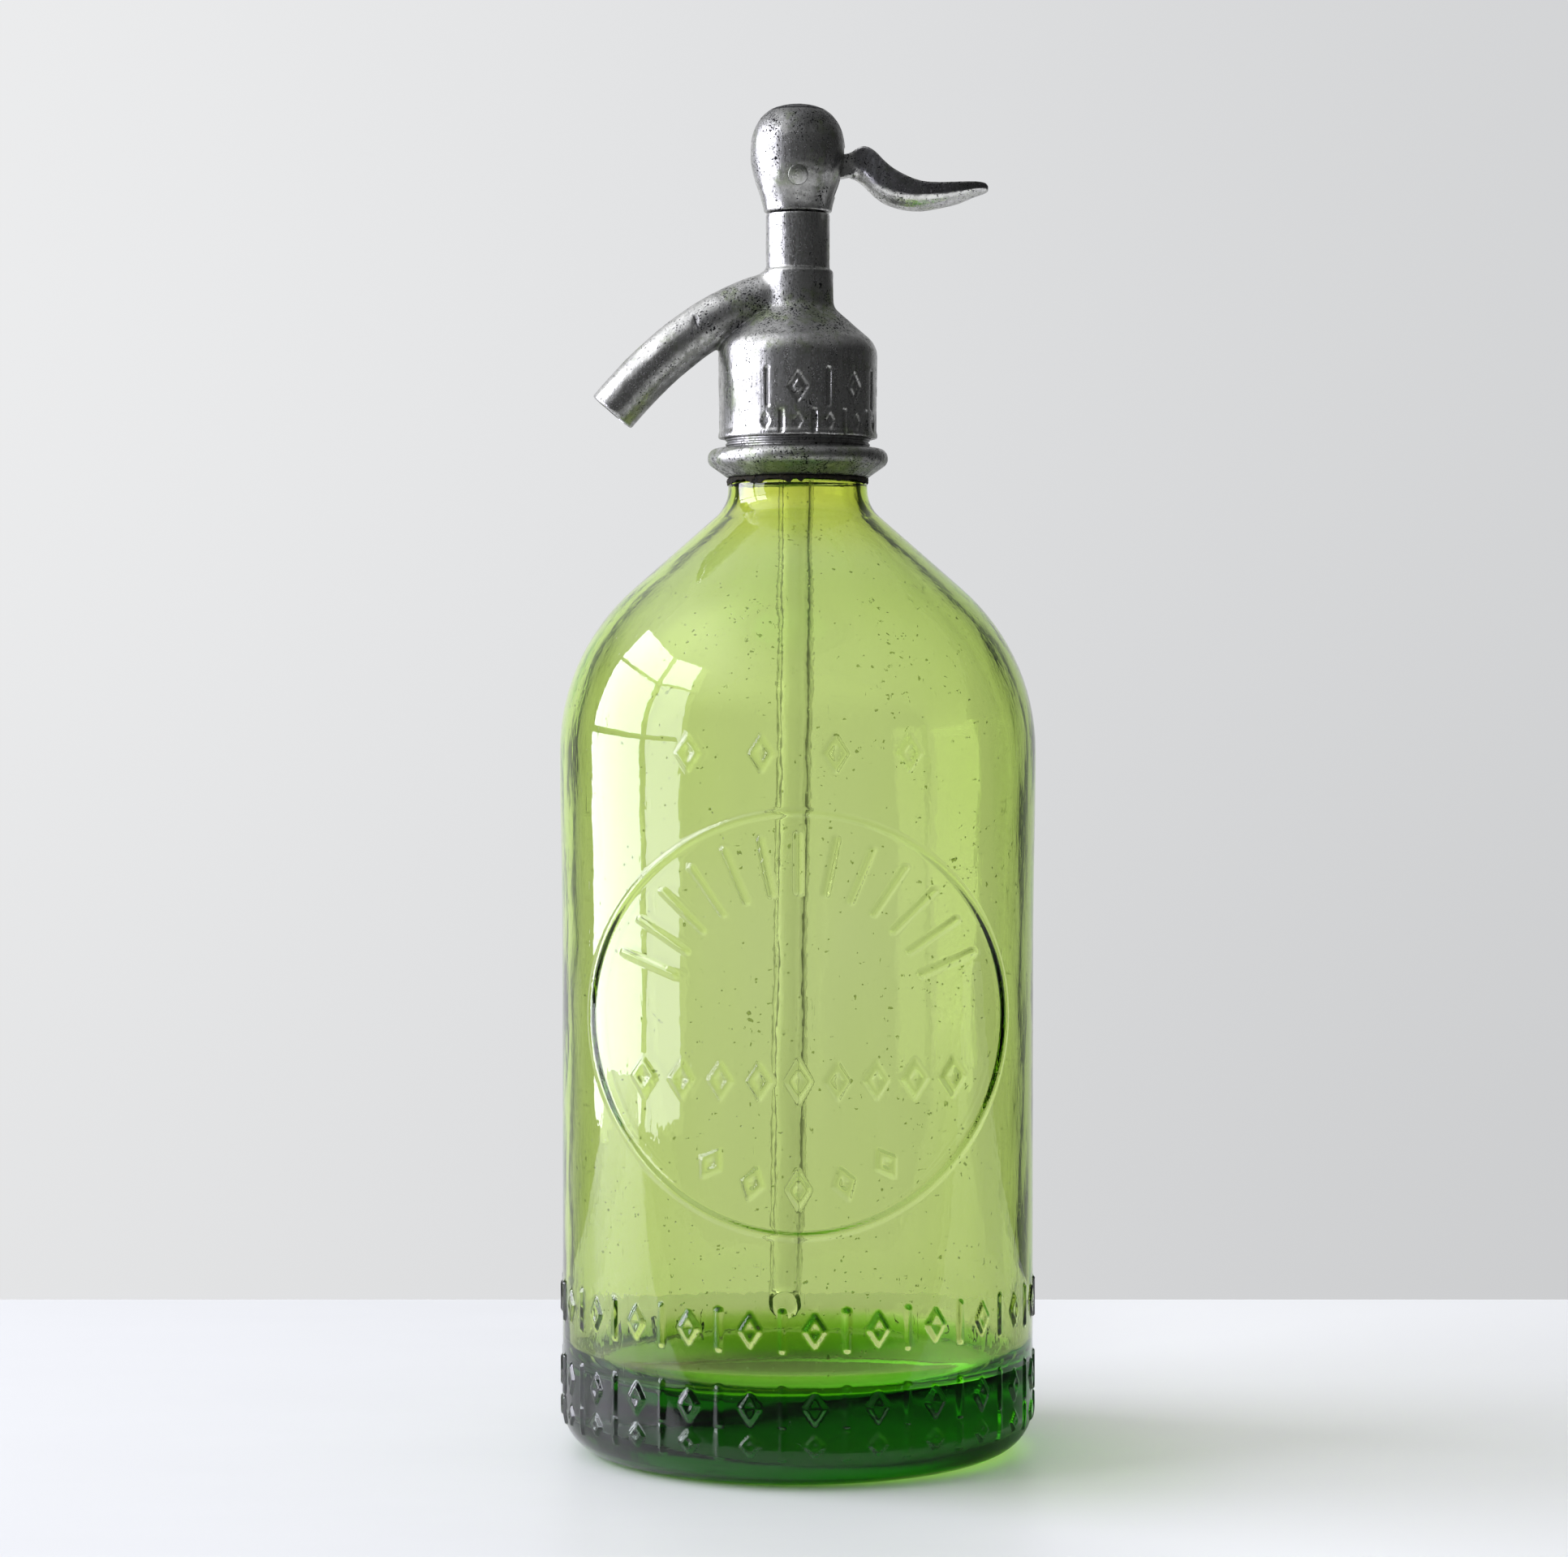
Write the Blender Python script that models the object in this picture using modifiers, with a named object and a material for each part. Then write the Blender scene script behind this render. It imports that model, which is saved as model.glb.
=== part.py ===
# Lever-type soda siphon: a glass bottle, a cast head with its spout, and the push-down valve inside.
# Metres, +Z up. The origin is the centre of the ring that the bottle stands on, and the spout points to -X.
import math

import bmesh
import bpy
from mathutils import Matrix, Vector

# Fits
GAP = 0.0003  # between pieces that touch or seat
OVERRUN = 0.002  # how far a cutter runs past what it cuts
SHARP_ANGLE = math.radians(35)

# Facets round a turned piece
BOTTLE_STEPS = 48
HEAD_STEPS = 32
MID_STEPS = 24
SMALL_STEPS = 16

# Bottle
BOTTLE_HEIGHT = 0.2445  # base to lip
BODY_RADIUS = 0.0549
BODY_SWELL = 0.0005  # the wall stands out by this under the shoulder
SWELL_LENGTH = 0.045
BODY_WALL = 0.0040
BASE_CORNER = 0.0069
CONTACT_WIDTH = 0.0050  # of the ring that it stands on
PUSH_UP = 0.0045
FLOOR_THICKNESS = 0.0225
FLOOR_CORNER = 0.0085
FLOOR_CROWN = 0.0012
SHOULDER_RADIUS = 0.050
SHOULDER_SLOPE = math.radians(41.2)
NECK_FILLET = 0.0085
NECK_RADIUS = 0.0162
NECK_WALL = 0.0028
NECK_STRAIGHT = 0.0016
NECK_EDGE = 0.0008
GROOVE_RADIUS = 0.0128
GROOVE_HEIGHT = 0.0150
BEAD_RADIUS = 0.0156
BEAD_HEIGHT = 0.0045
BEAD_ROUND = 0.0014
MOUTH_RADIUS = 0.0105

# Raised marks on the bottle: three rows round its foot, and a plain ring on the front
MARK_RAISE = 0.0005
LOW_ROW_TOP = 0.0137  # the low row starts where the base's corner ends
MIDDLE_ROW_TOP = 0.0232
HIGH_ROW_FOOT = 0.0313
HIGH_ROW_TOP = 0.0402
HIGH_ROW_SHARE = 0.54  # of the round, on the front
LOZENGE_SHARES = (0.72, 0.93)  # of its facet's width and height
LOZENGE_SLOPE = 0.00055
RING_INSET = 0.0082  # from the bottle's side
RING_MIDDLE = 0.1034
RING_WIDTH = 0.0014
RING_STEPS = 32

# Dip tube and its sleeve
TUBE_RADIUS = 0.00415
TUBE_WALL = 0.0012
TUBE_ROUND = 0.0005
TUBE_CLEAR_OF_FLOOR = 0.0073
TUBE_LEAN = 0.0028  # how far its foot stands to the left of the axis
SLEEVE_WALL = 0.00125
SLEEVE_LIP = 0.0006

# Collar and its packing
COLLAR_WALL = 0.0025
COLLAR_SPLIT = math.radians(-25.3)  # the seam's direction seen from above
COLLAR_LEAN = math.radians(8)  # the seam is cut a little off plumb
FLANGE_HEIGHT = 0.0066
FLANGE_WIDTH = 0.0042
FLANGE_ROUND = 0.0023
PACKING_WALL = 0.0009
PACKING_FLANGE = 0.0006
PACKING_SPREAD = 0.0029

# Head
THREAD_SHOWING = 0.0023
BELL_WALL = 0.0012
BELL_TO_COLUMN = 0.0321
BELL_ROUND = 0.0060
BELL_SLOPE = math.radians(41)
COLUMN_FILLET = 0.0034
COLUMN_RADIUS = 0.00728
COLUMN_STEP = 0.0008
LOWER_COLUMN = 0.0078
UPPER_COLUMN = 0.0130
SPIGOT_RADIUS = 0.0062
SPIGOT_HEIGHT = 0.0026
SEAT_RADIUS = 0.0030
SEAT_LIP = 0.0011
SEAT_RISE = 0.0075
SEAT_DEPTH = 0.0035
CHAMBER_RADIUS = 0.0042
GLAND_RADIUS = 0.0052
NECK_GASKET = 0.0014

# Spout
SPOUT_BEND = 0.120
SPOUT_RADIUS = 0.00582
SPOUT_BORE = 0.0043
SPOUT_BORE_ROOT = 0.0034
SPOUT_REACH = 0.0433
SPOUT_DROP = 0.0338  # from the column's step to the middle of its tip
SPOUT_TIP_ANGLE = math.radians(47.8)
SPOUT_POINTS = 11

# Valve
CAGE_WALL = 0.0012
CAGE_CHAMBER = 0.0068
CAGE_FLOOR = 0.0014
CAGE_FLANGE = 0.0018
CAGE_GASKET = 0.0007
SOCKET_WALL = 0.0014
SOCKET_DEPTH = 0.0100
WATER_WAY = 0.0030
STEM_RADIUS = 0.0015
STEM_COLLAR = 0.0009
STEM_TAIL = 0.0007
DISC_RADIUS = 0.0046
DISC_THICKNESS = 0.0022
HOLDER_WALL = 0.0005
HOLDER_PLATE = 0.0014
HOLDER_RIM = 0.0011
NUT_RADIUS = 0.0031
NUT_HEIGHT = 0.0022

# Gland, spring and button
PACKING_HEIGHT = 0.0027
GLAND_HEIGHT = 0.0032
GLAND_NOTCH = 0.0012
BUTTON_RADIUS = 0.0046
BUTTON_HEIGHT = 0.0015
BUTTON_ROUND = 0.0004
BUTTON_BOSS = 0.0020
BUTTON_ROOF = 0.0009
SPRING_RADIUS = 0.0034
SPRING_WIRE = 0.0009
SPRING_TURNS = 4
SPRING_POINTS_PER_TURN = 10

# Ball cap and pivot
BALL_RADIUS = 0.0112
BALL_MIDDLE = 0.0132  # from the skirt's foot up to the widest place
BALL_CROWN = 0.0118  # from there to the top
BALL_FULLNESS = 2.4  # 2 is an ellipse
SKIRT_RADIUS = 0.0079
SKIRT_CURVE = 1.5
CAVITY_RADIUS = 0.0076
CAVITY_START = 0.0034
CAVITY_CONE = 0.0014
CAVITY_WALL_TOP = 0.0125
CAVITY_CROWN = 0.0045
PIVOT_RISE = 0.0069
PIN_RADIUS = 0.0015
PIN_HEAD_RADIUS = 0.0023
PIN_HEAD = 0.0008
PIN_DOME = 0.0003
PIN_SEAT = 0.0085  # from the middle to the underside of each head
SLOT_TOP = 0.0074

# Lever
LEVER_TURN = math.radians(22)
LEVER_LENGTH = 0.0442
LEVER_DEPTH = 0.0152
LEVER_WIDTH = 0.0106
LEVER_DISH = 0.0007
TANG_THICKNESS = 0.0040
HUB_RADIUS = 0.0030
NOSE_RADIUS = 0.0012
NOSE_OUT = 0.0032
NOSE_DOWN = 0.0026
HEEL_OUT = 0.0050
HEEL_DOWN = 0.0006
TANG_END = 0.0130
NECK_LOW = 0.0008
NECK_HIGH = 0.0063
# Along the lever: place, top, ridge and belly, as shares of its length and depth, and its half width
LEVER_SHARES = (
    (0.272, 0.434, 0.283, 0.020, 0.208),
    (0.310, 0.493, 0.303, -0.026, 0.245),
    (0.353, 0.533, 0.158, -0.125, 0.302),
    (0.407, 0.428, -0.026, -0.276, 0.368),
    (0.471, 0.237, -0.145, -0.388, 0.434),
    (0.552, 0.086, -0.224, -0.454, 0.481),
    (0.638, -0.007, -0.250, -0.464, 0.500),
    (0.724, -0.059, -0.237, -0.428, 0.495),
    (0.837, -0.059, -0.191, -0.349, 0.443),
    (0.923, -0.049, -0.164, -0.270, 0.368),
    (0.980, -0.062, -0.145, -0.211, 0.264),
    (1.000, -0.105, -0.145, -0.178, 0.151),
)
# Half of a cross-section: out, as a share of the half width, and two shares of height, from dish to
# top edge and ridge, and from ridge to belly
SECTION_SHARES = (
    (0.55, -0.45, 0.0, 0.0),
    (0.92, 0.0, 0.0, 0.0),
    (1.00, 0.0, 0.22, 0.0),
    (1.00, 0.0, 1.0, 0.0),
    (0.88, 0.0, 1.0, 0.40),
    (0.52, 0.0, 1.0, 0.85),
)

# Heights, from the bottle's foot upwards
beadBottom = BOTTLE_HEIGHT - BEAD_HEIGHT
grooveBottom = beadBottom - GROOVE_HEIGHT
collarBottom = grooveBottom + GAP + PACKING_FLANGE + GAP
collarTop = beadBottom - GAP
flangeTop = collarBottom + FLANGE_HEIGHT
bellBottom = flangeTop + THREAD_SHOWING
columnBase = bellBottom + BELL_TO_COLUMN
columnStep = columnBase + LOWER_COLUMN
columnTop = columnStep + UPPER_COLUMN
spigotTop = columnTop + SPIGOT_HEIGHT
ceiling = BOTTLE_HEIGHT + GAP + NECK_GASKET + GAP
seat = ceiling + SEAT_RISE
cageTop = seat + GAP
cageRoof = cageTop + GAP
flangeOfCageTop = ceiling - GAP - CAGE_GASKET - GAP
cageFlangeBottom = flangeOfCageTop - CAGE_FLANGE
socketBottom = cageFlangeBottom - SOCKET_DEPTH
discTop = seat - GAP
holderTop = discTop - DISC_THICKNESS - GAP
holderBottom = holderTop - HOLDER_PLATE
nutTop = holderBottom - GAP
stemFoot = nutTop - NUT_HEIGHT - STEM_TAIL
capBottom = columnTop + GAP
pivotHeight = capBottom + PIVOT_RISE
buttonTop = pivotHeight - NOSE_DOWN - NOSE_RADIUS - GAP
buttonBottom = buttonTop - BUTTON_HEIGHT
stemTop = buttonTop - BUTTON_ROOF - GAP
packingBottom = columnStep + GAP
glandBottom = packingBottom + PACKING_HEIGHT + GAP
glandTop = glandBottom + GLAND_HEIGHT

# Radii that follow from their neighbours
packingBore = GROOVE_RADIUS + GAP
collarBore = packingBore + PACKING_WALL + GAP
collarRadius = collarBore + COLLAR_WALL
bellBore = collarRadius + GAP
bellRadius = bellBore + BELL_WALL
stemHole = STEM_RADIUS + GAP
cageRadius = CAGE_CHAMBER + CAGE_WALL
sleeveBore = TUBE_RADIUS + GAP
sleeveRadius = sleeveBore + SLEEVE_WALL
socketBore = sleeveRadius + GAP
lowerColumnRadius = COLUMN_RADIUS + COLUMN_STEP
skirtBore = SPIGOT_RADIUS + GAP
pinHole = PIN_RADIUS + GAP


# Points of a profile, as (radius, height)
def arc(centre, radius, start, end, steps):
    """Points on an arc from start to end, in degrees from the +radius direction."""
    angles = [math.radians(start + (end - start) * i / steps) for i in range(steps + 1)]
    return [(centre[0] + radius * math.cos(a), centre[1] + radius * math.sin(a)) for a in angles]


def arc_below(fillet, filletRadius, outerRadius, arcRadius, slope):
    """Centre of the outward arc that a straight slope joins smoothly to the hollow fillet above it."""
    normal = (math.sin(slope), math.cos(slope))
    reach = normal[0] * fillet[0] + normal[1] * fillet[1] - filletRadius
    middle = outerRadius - arcRadius
    return middle, (reach - arcRadius - normal[0] * middle) / normal[1]


def ease(share):
    """0 to 1 with level ends."""
    return share * share * (3 - 2 * share)


# Objects
def new_collection(name):
    collection = bpy.data.collections.new(name)
    bpy.context.scene.collection.children.link(collection)
    return collection


def new_object(name, data, collection):
    made = bpy.data.objects.new(name, data)
    collection.objects.link(made)
    return made


def finish_material(name, colour, metallic, roughness):
    """A Principled material with one colour."""
    material = bpy.data.materials.new(name)
    material.use_nodes = True
    shader = material.node_tree.nodes["Principled BSDF"]
    shader.inputs["Base Color"].default_value = (*colour, 1)
    shader.inputs["Metallic"].default_value = metallic
    shader.inputs["Roughness"].default_value = roughness
    return material


def turned(name, profile, steps, closed, collection):
    """Turns a profile about Z. An open profile starts and ends on the axis."""
    count = len(profile)
    edges = [(i, i + 1) for i in range(count - 1)]
    if closed:
        edges.append((count - 1, 0))
    mesh = bpy.data.meshes.new(name)
    mesh.from_pydata([(r, 0, z) for r, z in profile], edges, [])
    made = new_object(name, mesh, collection)
    screw = made.modifiers.new("turn", "SCREW")
    screw.steps = steps
    screw.render_steps = steps
    screw.use_merge_vertices = True
    screw.merge_threshold = GAP / 30
    return made


def rod(name, radius, bottom, top, steps, collection):
    """A plain cylinder."""
    return turned(name, [(0, top), (radius, top), (radius, bottom), (0, bottom)], steps, False, collection)


def ring(name, inner, outer, bottom, top, steps, collection):
    """A plain ring of square section."""
    profile = [(inner, top), (outer, top), (outer, bottom), (inner, bottom)]
    return turned(name, profile, steps, True, collection)


def box(name, low, high, collection):
    """A box between two corners."""
    made = bmesh.new()
    size = Vector(high) - Vector(low)
    middle = (Vector(high) + Vector(low)) / 2
    bmesh.ops.create_cube(made, size=1, matrix=Matrix.Translation(middle) @ Matrix.Diagonal((*size, 1)))
    mesh = bpy.data.meshes.new(name)
    made.to_mesh(mesh)
    made.free()
    return new_object(name, mesh, collection)


def as_mesh(curved, collection):
    """Makes a curve object a closed mesh object of the same name, and removes the curve."""
    name = curved.name
    evaluated = curved.evaluated_get(bpy.context.evaluated_depsgraph_get())
    mesh = bpy.data.meshes.new_from_object(evaluated)
    place = curved.matrix_world.copy()
    bpy.data.objects.remove(curved)
    welded = bmesh.new()
    welded.from_mesh(mesh)
    bmesh.ops.remove_doubles(welded, verts=welded.verts, dist=GAP / 30)
    welded.to_mesh(mesh)
    welded.free()
    made = new_object(name, mesh, collection)
    made.matrix_world = place
    return made


def tube(name, points, radii, resolution, collection):
    """A round bar along a line of points, with flat ends."""
    curve = bpy.data.curves.new(name, "CURVE")
    curve.dimensions = "3D"
    curve.bevel_depth = 1
    curve.bevel_resolution = resolution
    curve.use_fill_caps = True
    spline = curve.splines.new("POLY")
    spline.points.add(len(points) - 1)
    for place, spot, radius in zip(spline.points, points, radii, strict=True):
        place.co = (*spot, 1)
        place.radius = radius
    return as_mesh(new_object(name, curve, collection), collection)


def plate(name, outline, thickness, collection):
    """A flat plate that stands in the XZ plane, from its outline as (x, z)."""
    curve = bpy.data.curves.new(name, "CURVE")
    curve.dimensions = "2D"
    curve.fill_mode = "BOTH"
    curve.extrude = thickness / 2
    spline = curve.splines.new("POLY")
    spline.points.add(len(outline) - 1)
    for place, spot in zip(spline.points, outline, strict=True):
        place.co = (*spot, 0, 1)
    spline.use_cyclic_u = True
    made = as_mesh(new_object(name, curve, collection), collection)
    made.data.transform(Matrix.Rotation(math.radians(90), 4, "X"))
    return made


def combine(target, helper, operation):
    """Cuts the helper out of the target, or joins it on."""
    helper.display_type = "WIRE"
    helper.hide_render = True
    boolean = target.modifiers.new(helper.name, "BOOLEAN")
    boolean.operation = operation
    boolean.solver = "EXACT"
    boolean.object = helper


def dress(made, material):
    """Turns the modifiers into the mesh, shades it and gives it its material."""
    evaluated = made.evaluated_get(bpy.context.evaluated_depsgraph_get())
    mesh = bpy.data.meshes.new_from_object(evaluated)
    made.modifiers.clear()
    made.data = mesh
    mesh.name = made.name
    mesh.shade_smooth()
    mesh.set_sharp_from_angle(angle=SHARP_ANGLE)
    mesh.materials.clear()
    mesh.materials.append(material)
    return made


# Bottle
def shoulder_arc(fillet):
    """Centre of the shoulder's arc, in the bottle's profile."""
    return arc_below(fillet, NECK_FILLET, BODY_RADIUS + BODY_SWELL, SHOULDER_RADIUS, SHOULDER_SLOPE)


def body_radius(height, shoulderFoot):
    """The outside of the wall, which swells a little towards the shoulder."""
    share = min(1, max(0, (shoulderFoot - height) / SWELL_LENGTH))
    return BODY_RADIUS + BODY_SWELL * (1 - ease(share))


def bottle_profile():
    """From the inside of the floor up to the lip, and down the outside to the push-up."""
    fillet = (NECK_RADIUS + NECK_FILLET, grooveBottom - NECK_STRAIGHT)
    shoulder = shoulder_arc(fillet)
    turn = 90 - math.degrees(SHOULDER_SLOPE)
    innerRadius = BODY_RADIUS - BODY_WALL
    cornerCentre = (innerRadius - FLOOR_CORNER, FLOOR_THICKNESS + FLOOR_CORNER)
    inside = [(0, FLOOR_THICKNESS + FLOOR_CROWN)]
    inside += arc(cornerCentre, FLOOR_CORNER, -90, 0, 2)
    inside += arc(shoulder, SHOULDER_RADIUS - BODY_WALL, 0, turn, 3)
    inside += arc(fillet, NECK_FILLET + NECK_WALL, 180 + turn, 180, 2)
    inside.append((NECK_RADIUS - NECK_WALL, grooveBottom))
    inside.append((MOUTH_RADIUS, grooveBottom + NECK_WALL))
    inside.append((MOUTH_RADIUS, BOTTLE_HEIGHT))
    beadMiddle = BEAD_RADIUS - BEAD_ROUND
    outside = arc((beadMiddle, BOTTLE_HEIGHT - BEAD_ROUND), BEAD_ROUND, 90, 0, 2)
    outside += arc((beadMiddle, beadBottom + BEAD_ROUND), BEAD_ROUND, 0, -90, 2)
    outside += [(GROOVE_RADIUS, beadBottom), (GROOVE_RADIUS, grooveBottom)]
    outside += arc((NECK_RADIUS - NECK_EDGE, grooveBottom - NECK_EDGE), NECK_EDGE, 90, 0, 1)
    outside += arc(fillet, NECK_FILLET, 180, 180 + turn, 4)
    outside += arc(shoulder, SHOULDER_RADIUS, turn, 0, 6)
    for share in (0.5, 1):
        height = shoulder[1] - SWELL_LENGTH * share
        outside.append((body_radius(height, shoulder[1]), height))
    outside += [(BODY_RADIUS, height) for height in (HIGH_ROW_TOP, HIGH_ROW_FOOT, MIDDLE_ROW_TOP, LOW_ROW_TOP)]
    outside += arc((BODY_RADIUS - BASE_CORNER, BASE_CORNER), BASE_CORNER, 0, -90, 4)
    domeRadius = BODY_RADIUS - BASE_CORNER - CONTACT_WIDTH
    for share in (1, 0.6, 0):
        outside.append((domeRadius * share, PUSH_UP * (1 - share * share)))
    return inside + outside


def raise_rows(mesh):
    """Raises a flat-topped lozenge on every other facet of the three rows round the bottle's foot."""
    rows = (
        (BASE_CORNER, LOW_ROW_TOP, 1),
        (LOW_ROW_TOP, MIDDLE_ROW_TOP, 1),
        (HIGH_ROW_FOOT, HIGH_ROW_TOP, HIGH_ROW_SHARE),
    )
    work = bmesh.new()
    work.from_mesh(mesh)
    chosen = []
    for face in work.faces:
        middle = face.calc_center_median()
        around = math.atan2(middle.x, -middle.y) / math.pi
        raised = math.floor(around * BOTTLE_STEPS / 2) % 2 == 0
        outside = math.hypot(middle.x, middle.y) > BODY_RADIUS - BODY_WALL / 2
        heights = [corner.co.z for corner in face.verts]
        for low, high, share in rows:
            inRow = abs(min(heights) - low) + abs(max(heights) - high) < GAP
            if raised and outside and inRow and abs(around) < share:
                chosen.append(face)
    bmesh.ops.inset_individual(work, faces=chosen)
    for face in chosen:
        middle = face.calc_center_median()
        around = [corner.co.copy() for corner in face.verts]
        for corner, one, two in zip(face.verts, around, around[1:] + around[:1]):
            level = abs(one.z - two.z) < GAP
            corner.co = middle + ((one + two) / 2 - middle) * LOZENGE_SHARES[level]
    bmesh.ops.inset_individual(work, faces=chosen, thickness=LOZENGE_SLOPE, depth=MARK_RAISE)
    work.to_mesh(mesh)
    work.free()


def make_ring(collection, glass):
    """A flat ring is bent to the wall's front, with its root inside the glass."""
    shoulderFoot = shoulder_arc((NECK_RADIUS + NECK_FILLET, grooveBottom - NECK_STRAIGHT))[1]
    outer = BODY_RADIUS - RING_INSET + RING_WIDTH / 2
    inner = outer - RING_WIDTH
    flat = ring("bottle_ring", inner, outer, -BODY_WALL / 2, MARK_RAISE, RING_STEPS, collection)
    made = dress(flat, glass)
    for corner in made.data.vertices:
        x, up, lift = corner.co
        radius = body_radius(RING_MIDDLE + up, shoulderFoot) + lift
        corner.co = (x, -math.sqrt(radius * radius - x * x), RING_MIDDLE + up)
    return made


def make_bottle(parts, cutters, glass):
    made = dress(turned("bottle", bottle_profile(), BOTTLE_STEPS, False, parts), glass)
    raise_rows(made.data)
    combine(made, make_ring(cutters, glass), "UNION")
    dress(made, glass)


# Dip tube, leaning a little to the left from its top
def make_dip_tube(parts, glass):
    top = cageFlangeBottom - GAP - GAP
    length = top - FLOOR_THICKNESS - FLOOR_CROWN - TUBE_CLEAR_OF_FLOOR
    bore = TUBE_RADIUS - TUBE_WALL
    profile = [(bore, 0), (TUBE_RADIUS, 0)]
    profile += arc((TUBE_RADIUS - TUBE_ROUND, TUBE_ROUND - length), TUBE_ROUND, 0, -90, 2)
    profile += arc((bore + TUBE_ROUND, TUBE_ROUND - length), TUBE_ROUND, -90, -180, 2)
    made = turned("dip_tube", profile, SMALL_STEPS, True, parts)
    dress(made, glass)
    made.location = (0, 0, top)
    made.rotation_euler = (0, math.asin(TUBE_LEAN / length), 0)


def make_tube_sleeve(parts, rubber):
    top = cageFlangeBottom - GAP
    lipTop = socketBottom - GAP
    foot = lipTop - SLEEVE_LIP
    lip = sleeveRadius + SOCKET_WALL
    profile = [(sleeveBore, top), (sleeveRadius, top), (sleeveRadius, lipTop)]
    profile += [(lip, lipTop), (lip, foot), (sleeveBore, foot)]
    dress(turned("tube_sleeve", profile, SMALL_STEPS, True, parts), rubber)


# Collar: two half rings under the glass bead
def collar_profile():
    middle = (collarRadius + FLANGE_WIDTH - FLANGE_ROUND, flangeTop - FLANGE_ROUND)
    profile = [(collarBore, collarTop), (collarRadius, collarTop), (collarRadius, flangeTop)]
    profile += arc(middle, FLANGE_ROUND, 90, -45, 5)
    return profile + [(collarRadius - GAP, collarBottom), (collarBore, collarBottom)]


def make_collar_half(name, side, parts, cutters, metal):
    """side is 1 for the half that keeps the seam's far side, and -1 for the near one."""
    made = turned(name, collar_profile(), HEAD_STEPS, True, parts)
    reach = collarRadius + FLANGE_WIDTH + OVERRUN
    low = (-reach, min(-side * reach, side * GAP / 2), -reach)
    high = (reach, max(-side * reach, side * GAP / 2), reach)
    cutter = box(name + "_cut", low, high, cutters)
    cutter.location = (0, 0, (collarTop + collarBottom) / 2)
    cutter.rotation_euler = (COLLAR_LEAN, 0, COLLAR_SPLIT)
    combine(made, cutter, "DIFFERENCE")
    dress(made, metal)


def make_collar_packing(parts, packing):
    outer = packingBore + PACKING_WALL
    foot = grooveBottom + GAP
    spread = packingBore + PACKING_SPREAD
    profile = [(packingBore, collarTop - GAP), (outer, collarTop - GAP), (outer, foot + PACKING_FLANGE)]
    profile += [(spread, foot + PACKING_FLANGE), (spread, foot), (packingBore, foot)]
    dress(turned("collar_packing", profile, MID_STEPS, True, parts), packing)


def make_neck_gasket(parts, rubber):
    bottom = BOTTLE_HEIGHT + GAP
    made = ring("neck_gasket", MOUTH_RADIUS + GAP, BEAD_RADIUS - GAP, bottom, bottom + NECK_GASKET, MID_STEPS, parts)
    dress(made, rubber)


# Head: bell, shoulder, column and spout in one casting
def head_outside():
    """From the spigot's top down the outside to the bell's foot."""
    fillet = (lowerColumnRadius + COLUMN_FILLET, columnBase)
    shoulder = arc_below(fillet, COLUMN_FILLET, bellRadius, BELL_ROUND, BELL_SLOPE)
    turn = 90 - math.degrees(BELL_SLOPE)
    profile = [(0, spigotTop), (SPIGOT_RADIUS, spigotTop), (SPIGOT_RADIUS, columnTop)]
    profile += [(COLUMN_RADIUS, columnTop), (COLUMN_RADIUS, columnStep), (lowerColumnRadius, columnStep)]
    profile += arc(fillet, COLUMN_FILLET, 180, 180 + turn, 4)
    profile += arc(shoulder, BELL_ROUND, turn, 0, 5)
    profile += [(bellRadius, bellBottom), (0, bellBottom)]
    return profile


def head_inside():
    """From above the spigot down through the gland, chamber, seat and cage hole to the bell's mouth."""
    cageHole = cageRadius + GAP
    lip = SEAT_RADIUS + SEAT_LIP
    beadRoom = BEAD_RADIUS + GAP
    threadTop = beadBottom + BEAD_ROUND
    return [
        (0, spigotTop + OVERRUN),
        (GLAND_RADIUS, spigotTop + OVERRUN),
        (GLAND_RADIUS, columnStep),
        (CHAMBER_RADIUS, columnStep),
        (CHAMBER_RADIUS, seat + SEAT_DEPTH + CHAMBER_RADIUS - SEAT_RADIUS),
        (SEAT_RADIUS, seat + SEAT_DEPTH),
        (SEAT_RADIUS, seat),
        (lip, seat),
        (lip, cageRoof),
        (cageHole, cageRoof),
        (cageHole, ceiling),
        (beadRoom, ceiling),
        (beadRoom, threadTop),
        (bellBore, threadTop),
        (bellBore, bellBottom - OVERRUN),
        (0, bellBottom - OVERRUN),
    ]


def spout_line(overrun):
    """Points along the spout's middle, from the head's axis to its tip, and past it by overrun."""
    tip = Vector((-SPOUT_REACH, 0, columnStep - SPOUT_DROP))
    centre = tip + SPOUT_BEND * Vector((math.sin(SPOUT_TIP_ANGLE), 0, -math.cos(SPOUT_TIP_ANGLE)))
    start = math.asin(centre.x / SPOUT_BEND)
    points = []
    for i in range(SPOUT_POINTS):
        angle = start + (SPOUT_TIP_ANGLE - start) * i / (SPOUT_POINTS - 1)
        points.append(centre - SPOUT_BEND * Vector((math.sin(angle), 0, -math.cos(angle))))
    ahead = Vector((-math.cos(SPOUT_TIP_ANGLE), 0, -math.sin(SPOUT_TIP_ANGLE)))
    if overrun:
        points.append(points[-1] + ahead * overrun)
    return points


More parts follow.
